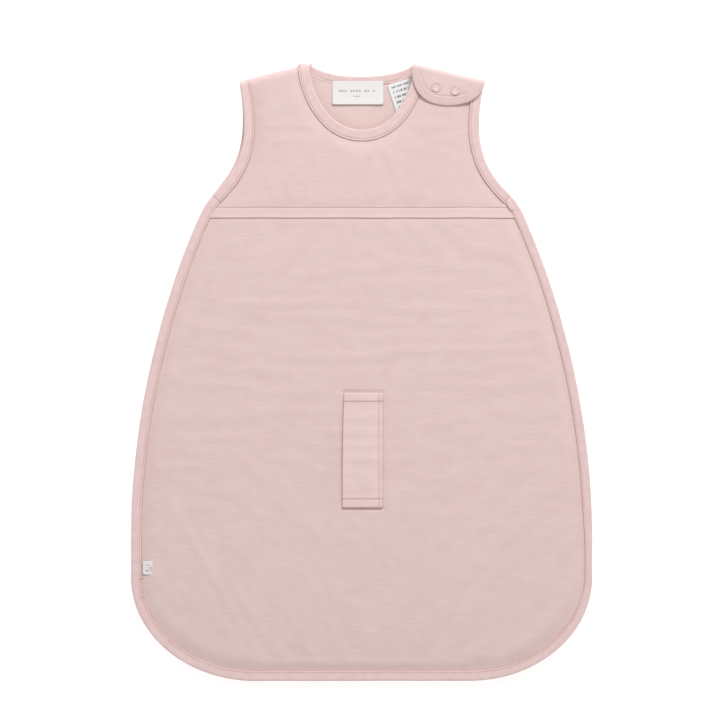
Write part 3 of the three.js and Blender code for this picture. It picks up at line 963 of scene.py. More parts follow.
def heldInside(points, line, room):
    # Points past the line (cloth on its left) are brought back to it.
    length = np.linalg.norm(line[-1] - line[0])
    run = (line[-1] - line[0]) / length
    across = np.array([-run[1], run[0]])
    past = np.clip(room - (points - line[0]) @ across, 0, None)
    past[np.abs((points - line[0]) @ run - length / 2) > length / 2 + cloth["past"]] = 0
    return points + past[:, None] * across


def clothUnder(node):
    # The cut of a panel, with its seam allowance under the bound edges.
    outer, *holes = outlineOf(node)
    outer = evenly(outer, cloth["tuckEvery"], closed=True)
    near = np.min([distanceTo(outer, line) for line in boundLines], axis=0) < cloth["tuckWithin"]
    share = np.convolve(np.concatenate([near[-4:], near, near[:4]]).astype(float), np.ones(9) / 9, "valid")
    grown = outer - leftNormals(outer, True) * (cloth["tuck"] * share)[:, None]
    grown = heldInside(grown, leftShoulder, cloth["leftInset"])
    atTip = grown[:, 1] > leftShoulder[1][1] - cloth["tipReach"]
    grown[atTip, 0] = np.maximum(grown[atTip, 0], leftShoulder[1][0] + cloth["tipRoom"])
    inset = cloth["frontInset"] if node.startswith("front") else cloth["backInset"]
    return [heldInside(grown, rightShoulder, inset), *holes]


def panel(name, node, material, lift, spacing, slotName, finer=None):
    thing = softPlate(name, clothUnder(node), lowOf(node), topOf(node), finish[material], lift, spacing,
                      cloth["roundOver"], finer=finer)
    replaceNodes(thing, slotName, node)


def besideWelt():
    # Close rows of points where the front is drawn down along the welt.
    low, high = corners("front_harness_welt")
    xs = np.arange(low[0] - 5, high[0] + 5, 2)
    rows = [end + step for end in (low[1], high[1]) for step in np.arange(-4, 4.1, 0.8)]
    return np.array([(x, y) for y in rows for x in xs])


panel("frontLowerCloth", "front_lower_panel", "jersey", frontLift, cloth["spacing"], "knit", besideWelt())
panel("frontYokeCloth", "front_yoke", "jersey", frontLift, cloth["spacing"], "knit")
panel("frontLiningCloth", "front_lining", "lining", frontLift, cloth["liningSpacing"], "knit_lining")
panel("backCloth", "back_panel", "jersey", backLift, cloth["spacing"] + 1, "knit")
panel("backLiningCloth", "back_lining", "lining", backLift, cloth["liningSpacing"], "knit_lining")
print("panels and linings ready")

# Bound edges

edges = {
    "hemWidth": 11,
    "armWidth": 11,
    "neckWidth": 12,
    "backNeckWidth": 10,
    "spacing": 2.6,
    "wander": 0.35,
    "endRound": 1.6,
    "stitchInset": 2.4,       # from the inner side of the strip to its stitched groove
    "armpitReach": 17,        # how far the side's bound edge runs on up each armhole
    "armStart": 13,
    "armOver": 0.3,
    "rightWidth": 0.9,
    "cornerWidth": 0.68,
    "cornerY": -195,
    "cornerReach": 42,
    "shoulderGap": 8.5,       # the front stops this far short of the shoulder line under the flap
    "neckTip": 0.74,
    "groove": 0.5,
}


def boundEdge(width, low, high, bothFaces=False, ridge=True):
    # The cut end of a bound edge: rolled outside, flat face, stitched groove, thin ridge and a step down.
    face = [(0, 2), (0.12, 1.2), (0.5, 0.5), (1.1, 0.12), (1.9, 0), (3.2, 0.14), (width - 4, 0.2)]
    if ridge:
        face += [(width - 3.1, 0.26), (width - 2.6, 0.66), (width - 2.2, 0.66), (width - 1.8, 0.22)]
        face += [(width - 1.2, 0), (width - 0.6, 0.16), (width - 0.2, 0.7), (width, 1.35)]
    else:
        face += [(width - 3.1, 0.24), (width - 2.6, 0.42), (width - 2.2, 0.42), (width - 1.8, 0.28)]
        face += [(width - 1.2, 0.3), (width - 0.6, 0.5), (width - 0.2, 0.9), (width, 1.35)]
    deepest = (high - low) * 0.45
    upper = [(x, high - min(drop, deepest)) for x, drop in face]
    if bothFaces:
        lower = [(x, low + min(drop, deepest * 0.98)) for x, drop in face]
    else:
        lower = [(0.12, low + 1), (0.6, low + 0.25), (1.5, low), (width - 0.7, low), (width - 0.1, low + 0.7)]
    return upper + lower[::-1]


def wandering(line, seed):
    # The hand-sewn line strays a little either way.
    points = evenly(line, edges["spacing"])
    stray = np.array([waviness(x, y, 46, 46, seed) for x, y in points])
    ends = np.minimum(np.arange(len(points)), np.arange(len(points))[::-1])
    return points + leftNormals(points) * (stray * np.clip(ends / 8, 0, 1) * edges["wander"])[:, None]


def sideWidths(path):
    # The right-hand border is narrower, most of all just above the hem's corner.
    right = np.clip((path[:, 0] - 130) / 40, 0, 1)
    corner = np.exp(-((path[:, 1] - edges["cornerY"]) / edges["cornerReach"]) ** 2)
    return 1 - right * ((1 - edges["rightWidth"]) * (1 - corner) + (1 - edges["cornerWidth"]) * corner)


def rounded(points, corners, reach):
    # Eases a path round its corners.
    points = points.copy()
    near = np.clip(1.4 - np.min([np.linalg.norm(points - c, axis=1) for c in corners], axis=0) / reach, 0, 1)
    near[[0, -1]] = 0
    for turn in range(14):
        smooth = points.copy()
        smooth[1:-1] = (points[:-2] + 2 * points[1:-1] + points[2:]) / 4
        points += (smooth - points) * near[:, None]
    return points


def binding(name, line, width, node, front, seed, roundEnds=(0, 0), over=0.0, side=False, tipWidth=0.45):
    low, high = lowOf(node), topOf(node)
    path = wandering(line, seed)
    if side:
        path = rounded(path, [bag["armpit"], (-bag["armpit"][0], bag["armpit"][1])], 12)
    section = np.array(boundEdge(width, low, high + over, not front, not side))
    # Painted shade: the stitched groove and the strip's inner edge are marked for a deeper, darker colour.
    groove = edges["groove"] * np.exp(-((section[:, 0] - width + edges["stitchInset"]) / 0.4) ** 2)
    shadeInSeams = groove + np.clip((section[:, 0] - width + 0.8) / 0.6, 0, 1)
    lift = bindLift if front else None
    widths = sideWidths(path) if side else None
    thing = sweep(name, path, section, finish["rib"], lift, roundEnds=roundEnds, pivot=(low + high) / 2,
                  widths=widths, tipWidth=tipWidth, shadeInSeams=shadeInSeams)
    replaceNodes(thing, "knit_edge", node)
    return path


endRound = edges["endRound"]
reach = edges["armpitReach"]
neckLength = lengthOf(frontNeckLine)
armLength = lengthOf(rightArmLine)
backArmLength = lengthOf(leftArmBack)
shoulderGap = edges["shoulderGap"]
armUp = part(rightArmLine, 0, reach)
edgeFrontPath = joined(part(leftArmFront, armLength - reach, armLength), edgeLine, armUp)
edgeBackPath = joined(part(leftArmBack, backArmLength - reach, backArmLength), edgeLine, armUp)
frontNeckPath = part(frontNeckLine, shoulderGap, neckLength)
frontArmPath = part(rightArmLine, edges["armStart"], armLength - shoulderGap)
leftArmPath = part(leftArmFront, 0, armLength - edges["armStart"])
over = edges["armOver"]
armStart = edges["armStart"]
backArmRight = part(rightArmLine, armStart, armLength)
backArmLeft = part(leftArmBack, 1.5, backArmLength - armStart)
backNeckPath = part(backNeckLine, 0, lengthOf(backNeckLine) - 3)
widths = {"edge": edges["hemWidth"], "arm": edges["armWidth"], "neck": edges["neckWidth"],
          "backNeck": edges["backNeckWidth"]}
sewn = {
    "edgeBack": binding("backEdgeBinding", edgeBackPath, widths["edge"], "back_edge_binding", False, 1.1,
                        (2, 2), side=True),
    "edgeFront": binding("frontEdgeBinding", edgeFrontPath, widths["edge"], "front_edge_binding", True, 2.2,
                         (2, 2), side=True),
    "armBackRight": binding("rightArmholeBindingBack", backArmRight, widths["arm"], "right_armhole_binding_back",
                            False, 3.3, (3, 0), over),
    "armBackLeft": binding("leftArmholeBindingBack", backArmLeft, widths["arm"], "left_armhole_binding_back",
                           False, 4.4, (0, 3), over),
    "armFrontRight": binding("rightArmholeBindingFront", frontArmPath, widths["arm"],
                             "right_armhole_binding_front", True, 5.5, (3, endRound), over),
    "armFrontLeft": binding("leftArmholeBindingFront", leftArmPath, widths["arm"],
                            "left_armhole_binding_front", True, 6.6, (endRound, 3), over),
    "neckBack": binding("backNeckBinding", backNeckPath, widths["backNeck"], "back_neck_binding", False, 7.7),
    "neckFront": binding("frontNeckBinding", frontNeckPath, widths["neck"], "front_neck_binding", True, 8.8,
                         (endRound, endRound), tipWidth=edges["neckTip"]),
}
print("bound edges ready")

# Closed seams on the left side and the left shoulder

seams = {
    "side": [(1.0, 2.4), (1.5, 4.4), (1.7, 6.8), (1.5, 9.2), (1.0, 11.2), (3.0, 11.2), (3.4, 6.8), (3.0, 2.4)],
    "shoulder": [(0.9, 0.6), (0.35, 1.8), (0.15, 3.6), (0.35, 5.6), (1.0, 6.9), (2.0, 7.1), (4.6, 7.0), (4.6, 0.6)],
    "middle": 6,
}
zipStart = np.argmin(np.abs(edgeLine[:len(edgeLine) // 2, 1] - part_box("left_side_seam")[0].y / mm))
sideSeamLine = edgeLine[:zipStart + 1]
zipLine = edgeLine[zipStart + 1:]


def seamStrip(name, line, sectionName, node):
    path = evenly(line, 4)
    thing = sweep(name, path, seams[sectionName], finish["jersey"], pivot=seams["middle"], roundEnds=(1, 1))
    replaceNodes(thing, "knit", node)


seamStrip("leftSideSeam", part(sideSeamLine, 2, lengthOf(sideSeamLine)), "side", "left_side_seam")
seamStrip("leftShoulderSeam", part(leftShoulder, 5, lengthOf(leftShoulder) - 6), "shoulder", "left_shoulder_seam")
print("closed seams ready")

bandShape = {
    "low": 156.6,
    "wave": 0.5,
    "waveScale": 42,
    "seed": 7.1,
    "past": 1.5,
    "stitched": 11.1,
}


def bandStray(xs):
    return bandShape["wave"] * np.array([waviness(x, 0, bandShape["waveScale"], 1, bandShape["seed"]) for x in xs])


def makeBand():
    low, high = corners("yoke_band")
    base = level["frontTop"] - 0.2
    rows = [(0.1, base + 0.2), (-0.15, base + 0.6), (0.1, base + 1.0), (0.8, base + 1.25), (2.0, base + 1.2)]
    rows += [(4.0, base + 0.95), (7.5, base + 0.85), (10.2, base + 0.75), (10.9, base + 0.3), (11.3, base + 0.3)]
    rows += [(11.9, base + 0.6), (12.5, base + 0.45), (13, base + 0.05), (12.6, base - 0.4), (0.6, base - 0.4)]
    xs = np.arange(low[0] - bandShape["past"], high[0] + bandShape["past"] + 2, 2.5)
    path = np.column_stack([xs, bandShape["low"] + bandStray(xs)])
    inward = np.array(rows)[:, 0]
    # Painted shade marked along the stitched groove and the band's two edges.
    shadeInSeams = 0.7 * np.exp(-((inward - bandShape["stitched"]) / 0.4) ** 2) + (inward < 0.3) + 0.8 * (inward > 12.8)
    thing = sweep("yokeBand", path, rows, finish["jersey"], frontLift, shadeInSeams=shadeInSeams)
    replaceNodes(thing, "knit", "yoke_band")


makeBand()

# Harness slot, its facings and the welt over it

welt = {
    "hem": 9.4,
    "rightSeam": 4.4,
    "gap": 0.5,
    "thick": 1.4,
    "crown": 1.1,
    "hemExtra": 0.45,
    "edgeLift": 1.6,
    "groove": 0.75,
    "grooveWide": 0.6,
    "bow": 1.6,
}


def weltParts():
    low, high = corners("front_harness_welt")
    return low[:2], high[:2]


def weltOutline():
    # The left edge is free and bows out a little, and the lower end is wider.
    low, high = weltParts()
    ys = np.linspace(high[1], low[1], 40)
    share = np.linspace(0, 1, 40)
    xs = low[0] + 0.9 - 1.7 * share + welt["bow"] * -0.35 * np.sin(share * math.pi)
    left = np.column_stack([xs, ys])
    return joined(left, [(high[0] - 0.4, low[1])], [(high[0], high[1])])


def weltLift(points):
    low, high = weltParts()
    share = (points[:, 1] - low[1]) / (high[1] - low[1])
    free = np.clip(1 - (points[:, 0] - low[0]) / 15, 0, 1) ** 2
    middle = np.clip(np.sin(np.clip((share - 0.06) / 0.88, 0, 1) * math.pi), 0, 1) ** 0.6
    crown = welt["crown"] * middle * np.sin(np.clip((points[:, 0] - low[0]) / (high[0] - low[0]), 0, 1) * math.pi)
    ripple = np.array([0.22 * waviness(x, y, 12, 16, 4.7) for x, y in points])
    return frontLift(points) + welt["edgeLift"] * free * middle + crown + ripple * middle


def weltRelief(points, rim):
    low, high = weltParts()
    fromTop, fromLow = high[1] - points[:, 1], points[:, 1] - low[1]
    fromRight = high[0] - points[:, 0]
    hem = np.minimum(fromTop, fromLow)
    relief = welt["hemExtra"] / (1 + np.exp((hem - welt["hem"]) / 0.25))
    for distance, share in ((hem - welt["hem"] + 0.2, 1), (fromRight - welt["rightSeam"], 0.6)):
        relief -= share * welt["groove"] * np.exp(-(distance / welt["grooveWide"]) ** 2)
    relief += 0.3 * np.exp(-((hem - welt["hem"] - 1.2) / 0.7) ** 2)
    return relief + 0.25 * np.exp(-((hem - 1.6) / 0.8) ** 2)


# Painted shade marked in the hem grooves, the right-hand seam and round the welt's rim.
def weltSeamShade(points, rim):
    low, high = weltParts()
    hem = np.minimum(high[1] - points[:, 1], points[:, 1] - low[1])
    groove = np.exp(-((hem - welt["hem"] + 0.2) / 0.6) ** 2)
    seam = 0.4 * np.exp(-((high[0] - points[:, 0] - welt["rightSeam"]) / 0.6) ** 2)
    return 0.8 * groove + seam + 0.8 * np.clip(1 - rim / 0.9, 0, 1)


def makeWelt():
    low = level["frontTop"] + welt["gap"]
    thing = softPlate("frontHarnessWelt", [weltOutline()], low, low + welt["thick"], finish["welt"], weltLift,
                      spacing=1.0, roundOver=0.8, relief=weltRelief, shadeInSeams=weltSeamShade)
    replaceNodes(thing, "knit", "front_harness_welt")


makeWelt()
for name, node, lift in (("frontSlotFacing", "front_slot_facing", frontLift),
                         ("backSlotFacing", "back_slot_facing", None)):
    facing = softPlate(name, outlineOf(node), lowOf(node), topOf(node), finish["lining"], lift, 3, 0.35)
    replaceNodes(facing, "knit_lining", node)
print("welt and slot facings ready")

# Labels

labels = {
    "neckCurl": 1.3,
    "careCurl": 0.5,
    "tabRise": 0.5,
    "spacing": 1.8,
    "extra": 0.05,
    "roundOver": 0.25,
}


def labelPlate(name, node, material, body, lift, axes=((1, 0), (0, 1)), corner=None):
    loop = outlineOf(node)[0]
    corner = corner if corner is not None else loop.min(0)
    thing = softPlate(name, [loop], lowOf(node), topOf(node) + labels["extra"], finish[material], lift,
                      labels["spacing"], labels["roundOver"], body=body)
    addFlatUv(thing, corner, *axes)
    replaceNodes(thing, "label", node)


def neckLabelLift(points):
    low, high = corners("neck_label")
    down = (high[1] - points[:, 1]) / (high[1] - low[1])
    side = np.abs(points[:, 0] - (low[0] + high[0]) / 2) / 26
    return labels["neckCurl"] * down ** 2 * (0.75 + 0.35 * side ** 2)


careLoop = outlineOf("care_label")[0]
careTop = careLoop[np.argmin(careLoop[:, 0])]
careRight = careLoop[np.argmax(careLoop[:, 1])]
careAcross = (careRight - careTop) / np.linalg.norm(careRight - careTop)
careUp = np.array([-careAcross[1], careAcross[0]])
careLength = max((careTop - p) @ careUp for p in careLoop)


def careLabelLift(points):
    down = np.clip((careTop - points) @ careUp / careLength, 0, 1)
    return labels["careCurl"] * np.sin(down * math.pi) * 0.7 + 0.15 * np.sin(((points - careTop) @ careAcross) / 5)


def tabLift(points):
    low, high = corners("side_tab_label")
    across = (points[:, 0] - low[0]) / (high[0] - low[0])
    return labels["tabRise"] * np.sin(across * 2.6) - 0.5 * across


labelPlate("neckLabel", "neck_label", "neckLabel", "neck_label", neckLabelLift)
labelPlate("careLabel", "care_label", "careLabel", "care_label", careLabelLift, (careAcross, careUp),
           careTop - careLength * careUp)
labelPlate("sideTab", "side_tab_label", "tabLabel", "side_tab", tabLift)
print("labels ready")

# Shoulder flap, cut flat as s along the fold and q away from it, then laid round the fold

flap = {
    "axisStart": (50, 310.7),
    "axisEnd": (124.8, 292.5),
    "thick": 2.6,
    "reach": 3.4,            # how far the middle of the cloth stands out past the fold line
    "tail": 7,
    "backMiddle": 1.75,
    "frontMiddle": 17.35,
    "edgeDrop": 1.5,
    "edgeDropWithin": 11,
    "stitchInset": 9.4,
    "groove": 0.85,
    "ridge": 0.35,
    "armPart": 62,           # where along the fold the armhole binding starts
    "bindExtra": 0.45,
    "shoulderStep": 2.9,
    "spacing": 1.15,
    "corner": (87, 271),
    "neckHandles": ((51, 288), (60, 271.5)),
    "armHandles": ((104, 270.7), (120, 277)),
    "blendLow": 2,
    "blendHigh": 13.5,
}
flapStart = np.array(flap["axisStart"], float)
flapRun = np.array(flap["axisEnd"], float) - flapStart
flapLength = np.linalg.norm(flapRun)
flapAlong = flapRun / flapLength
flapOut = np.array([flapAlong[1], -flapAlong[0]])
flapRise = (flap["frontMiddle"] - flap["backMiddle"]) / 2
wrapAngles = np.linspace(0, math.pi, 200)
wrapPoints = np.column_stack([-flap["reach"] * np.sin(wrapAngles), flapRise * np.cos(wrapAngles)])
wrapAlong = np.concatenate([[0], np.cumsum(np.linalg.norm(np.diff(wrapPoints, axis=0), axis=1))])
wrapLength = wrapAlong[-1]


def toPattern(points):
    away = np.asarray(points, float) - flapStart
    return np.column_stack([away @ flapAlong, away @ flapOut])


freeEdge = toPattern(joined(bezier(flap["axisStart"], *flap["neckHandles"], flap["corner"]),
                            bezier(flap["corner"], *flap["armHandles"], flap["axisEnd"])))


def flapOutline(start=0, grow=0.0):
    step = flap["shoulderStep"]
    back = -wrapLength - flap["tail"]
    right = [(flapLength - 0.2, -wrapLength * 0.3), (flapLength - 0.2, -wrapLength), (flapLength - 1, back)]
    left = [(step + 1, back), (step, -wrapLength), (step, -wrapLength * 0.5), (step * 0.6, -wrapLength * 0.2)]
    loop = joined(freeEdge, right, left)
    loop = evenly(loop, 1.4, closed=True)
    if start:
        keep = loop[loop[:, 0] >= start]
        order = np.argsort(np.arctan2(keep[:, 1] - keep[:, 1].mean(), keep[:, 0] - keep[:, 0].mean()))
        loop = keep[order]
    if grow:
        loop = shifted(loop, -grow, True)
    return loop


def flapFrontMiddle(s, q):
    edge = distanceTo(np.column_stack([s, q]), freeEdge)
    drop = np.clip(1 - edge / flap["edgeDropWithin"], 0, 1) ** 2 * flap["edgeDrop"]
    drop *= np.clip(q / 8, 0, 1)
    ripple = np.array([0.3 * waviness(a, b, 16, 12, 2.9) for a, b in zip(s, q)]) * np.clip(q / 6, 0, 1)
    return flap["frontMiddle"] - drop + ripple


def wrapFlap(vertices):
    s, q, offset = vertices.T
    away = np.interp(-q, wrapAlong, wrapPoints[:, 0])
    height = np.interp(-q, wrapAlong, wrapPoints[:, 1])
    angle = np.interp(-q, wrapAlong, wrapAngles)
    normalAway = -np.sin(angle) * flapRise
    normalUp = np.cos(angle) * flap["reach"]
    size = np.hypot(normalAway, normalUp)
    middleHeight = (flap["frontMiddle"] + flap["backMiddle"]) / 2
    t = away + normalAway / size * offset
    z = middleHeight + height + normalUp / size * offset
    ahead = q > 0
    t[ahead] = q[ahead]
    z[ahead] = flapFrontMiddle(s[ahead], q[ahead]) + offset[ahead]
    behind = q < -wrapLength
    t[behind] = -(q[behind] + wrapLength)
    z[behind] = flap["backMiddle"] - offset[behind]
    flat = flapStart + s[:, None] * flapAlong + t[:, None] * flapOut
    return np.column_stack([flat, z])


def flapRelief(points, rim):
    edge = distanceTo(points, freeEdge)
    inFront = 1 / (1 + np.exp(-(points[:, 1] - 3)))
    before = 1 / (1 + np.exp((points[:, 0] - flap["armPart"]) * 2))
    ridge = flap["ridge"] * np.exp(-((edge - flap["stitchInset"] + 1.5) / 0.9) ** 2)
    groove = flap["groove"] * np.exp(-((edge - flap["stitchInset"]) / 0.75) ** 2)
    return (ridge - groove) * inFront * before


# Painted shade marked along the stitched groove and round the flap's rim.
def flapSeamShade(points, rim):
    edge = distanceTo(points, freeEdge)
    return 0.3 * np.exp(-((edge - flap["stitchInset"]) / 0.6) ** 2) + 0.5 * np.clip(1 - rim / 0.6, 0, 1)


def makeFlap():
    half = flap["thick"] / 2
    cloth = softPlate("shoulderFlap", [flapOutline()], -half, half, finish["jersey"], None, flap["spacing"], 1.1,
                      body=None, relief=flapRelief, shape=wrapFlap, shadeInSeams=flapSeamShade)
    grip = half + flap["bindExtra"]
    outline = flapOutline(flap["armPart"], 0.4)
    bound = softPlate("flapArmholeBinding", [outline], -grip, grip, finish["jersey"], None, 1.5, 1.0, body=None,
                      shape=wrapFlap)
    for thing, nodes, slotName in ((cloth, ("shoulder_flap_outer", "shoulder_flap_facing"), "knit"),
                                   (bound, ("flap_armhole_binding",), "knit_edge")):
        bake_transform(thing)
        replaceNodes(thing, slotName, *nodes)


makeFlap()
print("shoulder flap ready")

# Press snaps: ring prongs outside, a cupped socket under the flap and a stud on the front

snaps = {
    "sides": 40,
    "ringCrest": 1.0,
    "ringOuter": 5.3,
    "ringInner": 3.9,
    "dishRing": 2.7,
    "capRadius": 1.1,
    "capCrest": 0.42,
    "cupRim": 2.5,
    "sunk": 0.1,
}


def turnedPiece(name, centre, low, profile, node, body):
    # Spins a closed (radius, height) profile about an upright axis.
    profile = np.array(profile, float)
    steps = snaps["sides"]
    vertices, faces = [], []
    size = len(profile)
    for i in range(steps):
        angle = 2 * math.pi * i / steps
        for radius, height in profile:
            vertices.append((centre[0] + radius * math.cos(angle), centre[1] + radius * math.sin(angle), low + height))
    for i in range(steps):
        here, there = i * size, (i + 1) % steps * size
        for j in range(size):
            faces.append((here + j, here + (j + 1) % size, there + (j + 1) % size, there + j))
    thing = meshObject(name, vertices, faces, finish["snap"], body)
    work = bmesh.new()
    work.from_mesh(thing.data)
    bmesh.ops.remove_doubles(work, verts=work.verts, dist=1e-6)
    bmesh.ops.dissolve_degenerate(work, edges=work.edges, dist=1e-7)
    bmesh.ops.recalc_face_normals(work, faces=work.faces)
    work.to_mesh(thing.data)
    work.free()
    replaceNodes(thing, "snap", node)


def ringProfile(turnedOver=False):
    # A pressed ring with a rolled rim, and a small rivet head standing in the middle of its dish.
    crest = snaps["ringCrest"]
    inner, outer, cap, dish = snaps["ringInner"], snaps["ringOuter"], snaps["capRadius"], snaps["dishRing"]
    top = [(0.001, snaps["capCrest"]), (cap * 0.6, snaps["capCrest"] * 0.85), (cap, 0.12), (cap + 0.3, 0.08)]
    top += [(dish - 0.5, 0.12), (dish, crest * 0.6), (dish + 0.5, 0.12)]
    top += [(inner - 0.35, 0.1), (inner, crest * 0.55), (inner + 0.25, crest * 0.95)]
    top += [((inner + outer) / 2, crest), (outer - 0.35, crest * 0.9), (outer - 0.05, crest * 0.45), (outer, 0.1)]
    profile = top + [(outer - 0.2, -0.1), (0.001, -0.1)]
    return [(radius, -height) for radius, height in profile] if turnedOver else profile


def studProfile():
    height = topOf("front_snap_stud_neck") - lowOf("front_snap_stud_neck")
    profile = [(0.001, height), (1.2, height - 0.05), (1.75, height - 0.3), (1.95, height - 0.7), (1.7, 0.75)]
    return profile + [(1.9, 0.55), (4.5, 0.5), (4.9, 0.3), (5, 0.05), (4.9, 0), (0.001, 0)]


def socketProfile():
    height = topOf("flap_snap_socket_neck") - lowOf("flap_snap_socket_neck")
    rim = snaps["cupRim"]
    profile = [(0.001, height), (4.9, height), (5.2, height - 0.3), (5.1, 0.4), (4.7, 0.1), (rim + 0.6, 0)]
    return profile + [(rim, 0.12), (rim - 0.1, 0.5), (rim + 0.3, height - 0.35), (0.001, height - 0.3)]


for side, spot in zip(("neck", "arm"), snapSpots):
    for name, node, low, profile, body in (
            ("flapSnapRing_", "flap_snap_ring_", level["flapTop"] - snaps["sunk"], ringProfile(), "shoulder_flap"),
            ("flapSnapSocket_", "flap_snap_socket_", lowOf("flap_snap_socket_" + side), socketProfile(),
             "shoulder_flap"),
            ("frontSnapStud_", "front_snap_stud_", lowOf("front_snap_stud_" + side), studProfile(), "bag"),
            ("frontSnapRing_", "front_snap_ring_", topOf("front_snap_ring_" + side), ringProfile(True), "bag")):
        turnedPiece(name + side, spot, low, profile, node + side, body)
print("snaps ready")

# Zip tapes and coils

zipper = {
    "tapeIn": 4.6,
    "tapeOut": 5.3,
    "backTape": (3.1, 5.1),
    "frontTape": (8.5, 10.6),
    "backCoil": 6.25,
    "frontCoil": 7.35,
    "coilIn": 5.0,
    "coilRadius": 0.72,
    "wire": 0.27,
    "pitch": 1.5,
    "tilt": 0.22,
    "garagePlace": (151, 170),
    "garageSunk": 0.9,
    "garageProud": 1.1,
}


def zipTape(name, node, low, high):
    path = evenly(zipLine, 3)
    inner, outer = zipper["tapeOut"], zipper["tapeIn"]
    middle = (low + high) / 2
    section = [(outer, low), (outer - 0.1, middle), (outer, high), (inner, high), (inner + 0.1, middle), (inner, low)]
    thing = sweep(name, path, section, finish["zipTape"], roundEnds=(1, 1), pivot=middle)
    replaceNodes(thing, "zip", node)


zipTape("zipTapeBack", "zip_tape_back", *zipper["backTape"])
zipTape("zipTapeFront", "zip_tape_front", *zipper["frontTape"])


def geometryTree(name, inputs):
    tree = bpy.data.node_groups.new(name, "GeometryNodeTree")
    tree.interface.new_socket(name="Geometry", in_out="INPUT", socket_type="NodeSocketGeometry")
    identifiers = {}
    for label, socketType in inputs:
        identifiers[label] = tree.interface.new_socket(name=label, in_out="INPUT", socket_type=socketType).identifier
    tree.interface.new_socket(name="Geometry", in_out="OUTPUT", socket_type="NodeSocketGeometry")
    return tree, tree.nodes.new("NodeGroupInput"), tree.nodes.new("NodeGroupOutput"), identifiers


def addNode(tree, kind, **settings):
    node = tree.nodes.new(kind)
    for key, value in settings.items():
        setattr(node, key, value)
    return node


def alongPath(tree, given, instance, tilt=0.0):
    # Places the instance at even steps on every path, its Z along the path.
    links = tree.links
    curve = tree.nodes.new("GeometryNodeMeshToCurve")
    links.new(given.outputs["Geometry"], curve.inputs[0])
    steps = addNode(tree, "GeometryNodeResampleCurve", mode="LENGTH")
    links.new(curve.outputs[0], steps.inputs["Curve"])
    links.new(given.outputs["Step"], steps.inputs["Length"])
    tangent = tree.nodes.new("GeometryNodeInputTangent")
    turn = addNode(tree, "FunctionNodeAlignRotationToVector", axis="Z")
    links.new(tangent.outputs[0], turn.inputs["Vector"])
    lean = addNode(tree, "FunctionNodeRotateRotation", rotation_space="LOCAL")
    links.new(turn.outputs[0], lean.inputs["Rotation"])
    lean.inputs["Rotate By"].default_value = (tilt, 0, 0)
    place = tree.nodes.new("GeometryNodeInstanceOnPoints")
    links.new(steps.outputs[0], place.inputs["Points"])
    links.new(instance, place.inputs["Instance"])
    links.new(lean.outputs[0], place.inputs["Rotation"])
    return place.outputs[0]


def closeTree(tree, given, result, geometry):
    real = tree.nodes.new("GeometryNodeRealizeInstances")
    tree.links.new(geometry, real.inputs[0])
    smooth = tree.nodes.new("GeometryNodeSetShadeSmooth")
    tree.links.new(real.outputs[0], smooth.inputs[0])
    paint = tree.nodes.new("GeometryNodeSetMaterial")
    tree.links.new(smooth.outputs[0], paint.inputs["Geometry"])
    tree.links.new(given.outputs["Finish"], paint.inputs["Material"])
    tree.links.new(paint.outputs[0], result.inputs[0])


def coilTree():
    tree, given, result, identifiers = geometryTree("zipCoil", [
        ("Step", "NodeSocketFloat"), ("Radius", "NodeSocketFloat"), ("Wire", "NodeSocketFloat"),
        ("Finish", "NodeSocketMaterial")])
    ring = tree.nodes.new("GeometryNodeCurvePrimitiveCircle")
    ring.inputs["Resolution"].default_value = 8
    tree.links.new(given.outputs["Radius"], ring.inputs["Radius"])
    wire = tree.nodes.new("GeometryNodeCurvePrimitiveCircle")
    wire.inputs["Resolution"].default_value = 4
    tree.links.new(given.outputs["Wire"], wire.inputs["Radius"])
    link = tree.nodes.new("GeometryNodeCurveToMesh")
    tree.links.new(ring.outputs[0], link.inputs["Curve"])
    tree.links.new(wire.outputs[0], link.inputs["Profile Curve"])
    closeTree(tree, given, result, alongPath(tree, given, link.outputs[0], zipper["tilt"]))
    return tree, identifiers


def stitchTree():
    tree, given, result, identifiers = geometryTree("stitchRow", [
        ("Step", "NodeSocketFloat"), ("Stitch Size", "NodeSocketVector"), ("Finish", "NodeSocketMaterial")])
    bead = tree.nodes.new("GeometryNodeMeshUVSphere")
    bead.inputs["Segments"].default_value = 6
    bead.inputs["Rings"].default_value = 4
    bead.inputs["Radius"].default_value = 1
    shape = tree.nodes.new("GeometryNodeTransform")
    tree.links.new(bead.outputs[0], shape.inputs["Geometry"])
    tree.links.new(given.outputs["Stitch Size"], shape.inputs["Scale"])
    closeTree(tree, given, result, alongPath(tree, given, shape.outputs[0]))
    return tree, identifiers


trees = {"coil": coilTree(), "stitch": stitchTree()}


def grownOnPaths(name, paths, treeName, values):
    # Runs a tree on a set of (x, y, z) paths and keeps the plain mesh.
    vertices, pathEdges = [], []
    for path in paths:
        pathEdges += [(len(vertices) + i, len(vertices) + i + 1) for i in range(len(path) - 1)]
        vertices += [tuple(point) for point in np.asarray(path) * mm]
    mesh = bpy.data.meshes.new(name + "Path")
    mesh.from_pydata(vertices, pathEdges, [])
    guide = bpy.data.objects.new(name + "Path", mesh)
    scene.collection.objects.link(guide)
    tree, identifiers = trees[treeName]
    modifier = guide.modifiers.new("grow", "NODES")
    modifier.node_group = tree
    for label, value in values.items():
        modifier[identifiers[label]] = value
    grown = bpy.data.meshes.new_from_object(guide.evaluated_get(bpy.context.evaluated_depsgraph_get()))
    bpy.data.objects.remove(guide)
    grown.name = name
    thing = bpy.data.objects.new(name, grown)
    scene.collection.objects.link(thing)
    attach(thing, "bag")
    return thing


def zipCoil(name, node, height, phase):
    path = evenly(shifted(part(zipLine, 2 + phase, lengthOf(zipLine) - 3), zipper["coilIn"]), 3)
    path = np.column_stack([path, np.full(len(path), height)])
    values = {"Step": zipper["pitch"] * mm, "Radius": zipper["coilRadius"] * mm, "Wire": zipper["wire"] * mm,
              "Finish": finish["zip"]}
    replaceNodes(grownOnPaths(name, [path], "coil", values), "zip", node)


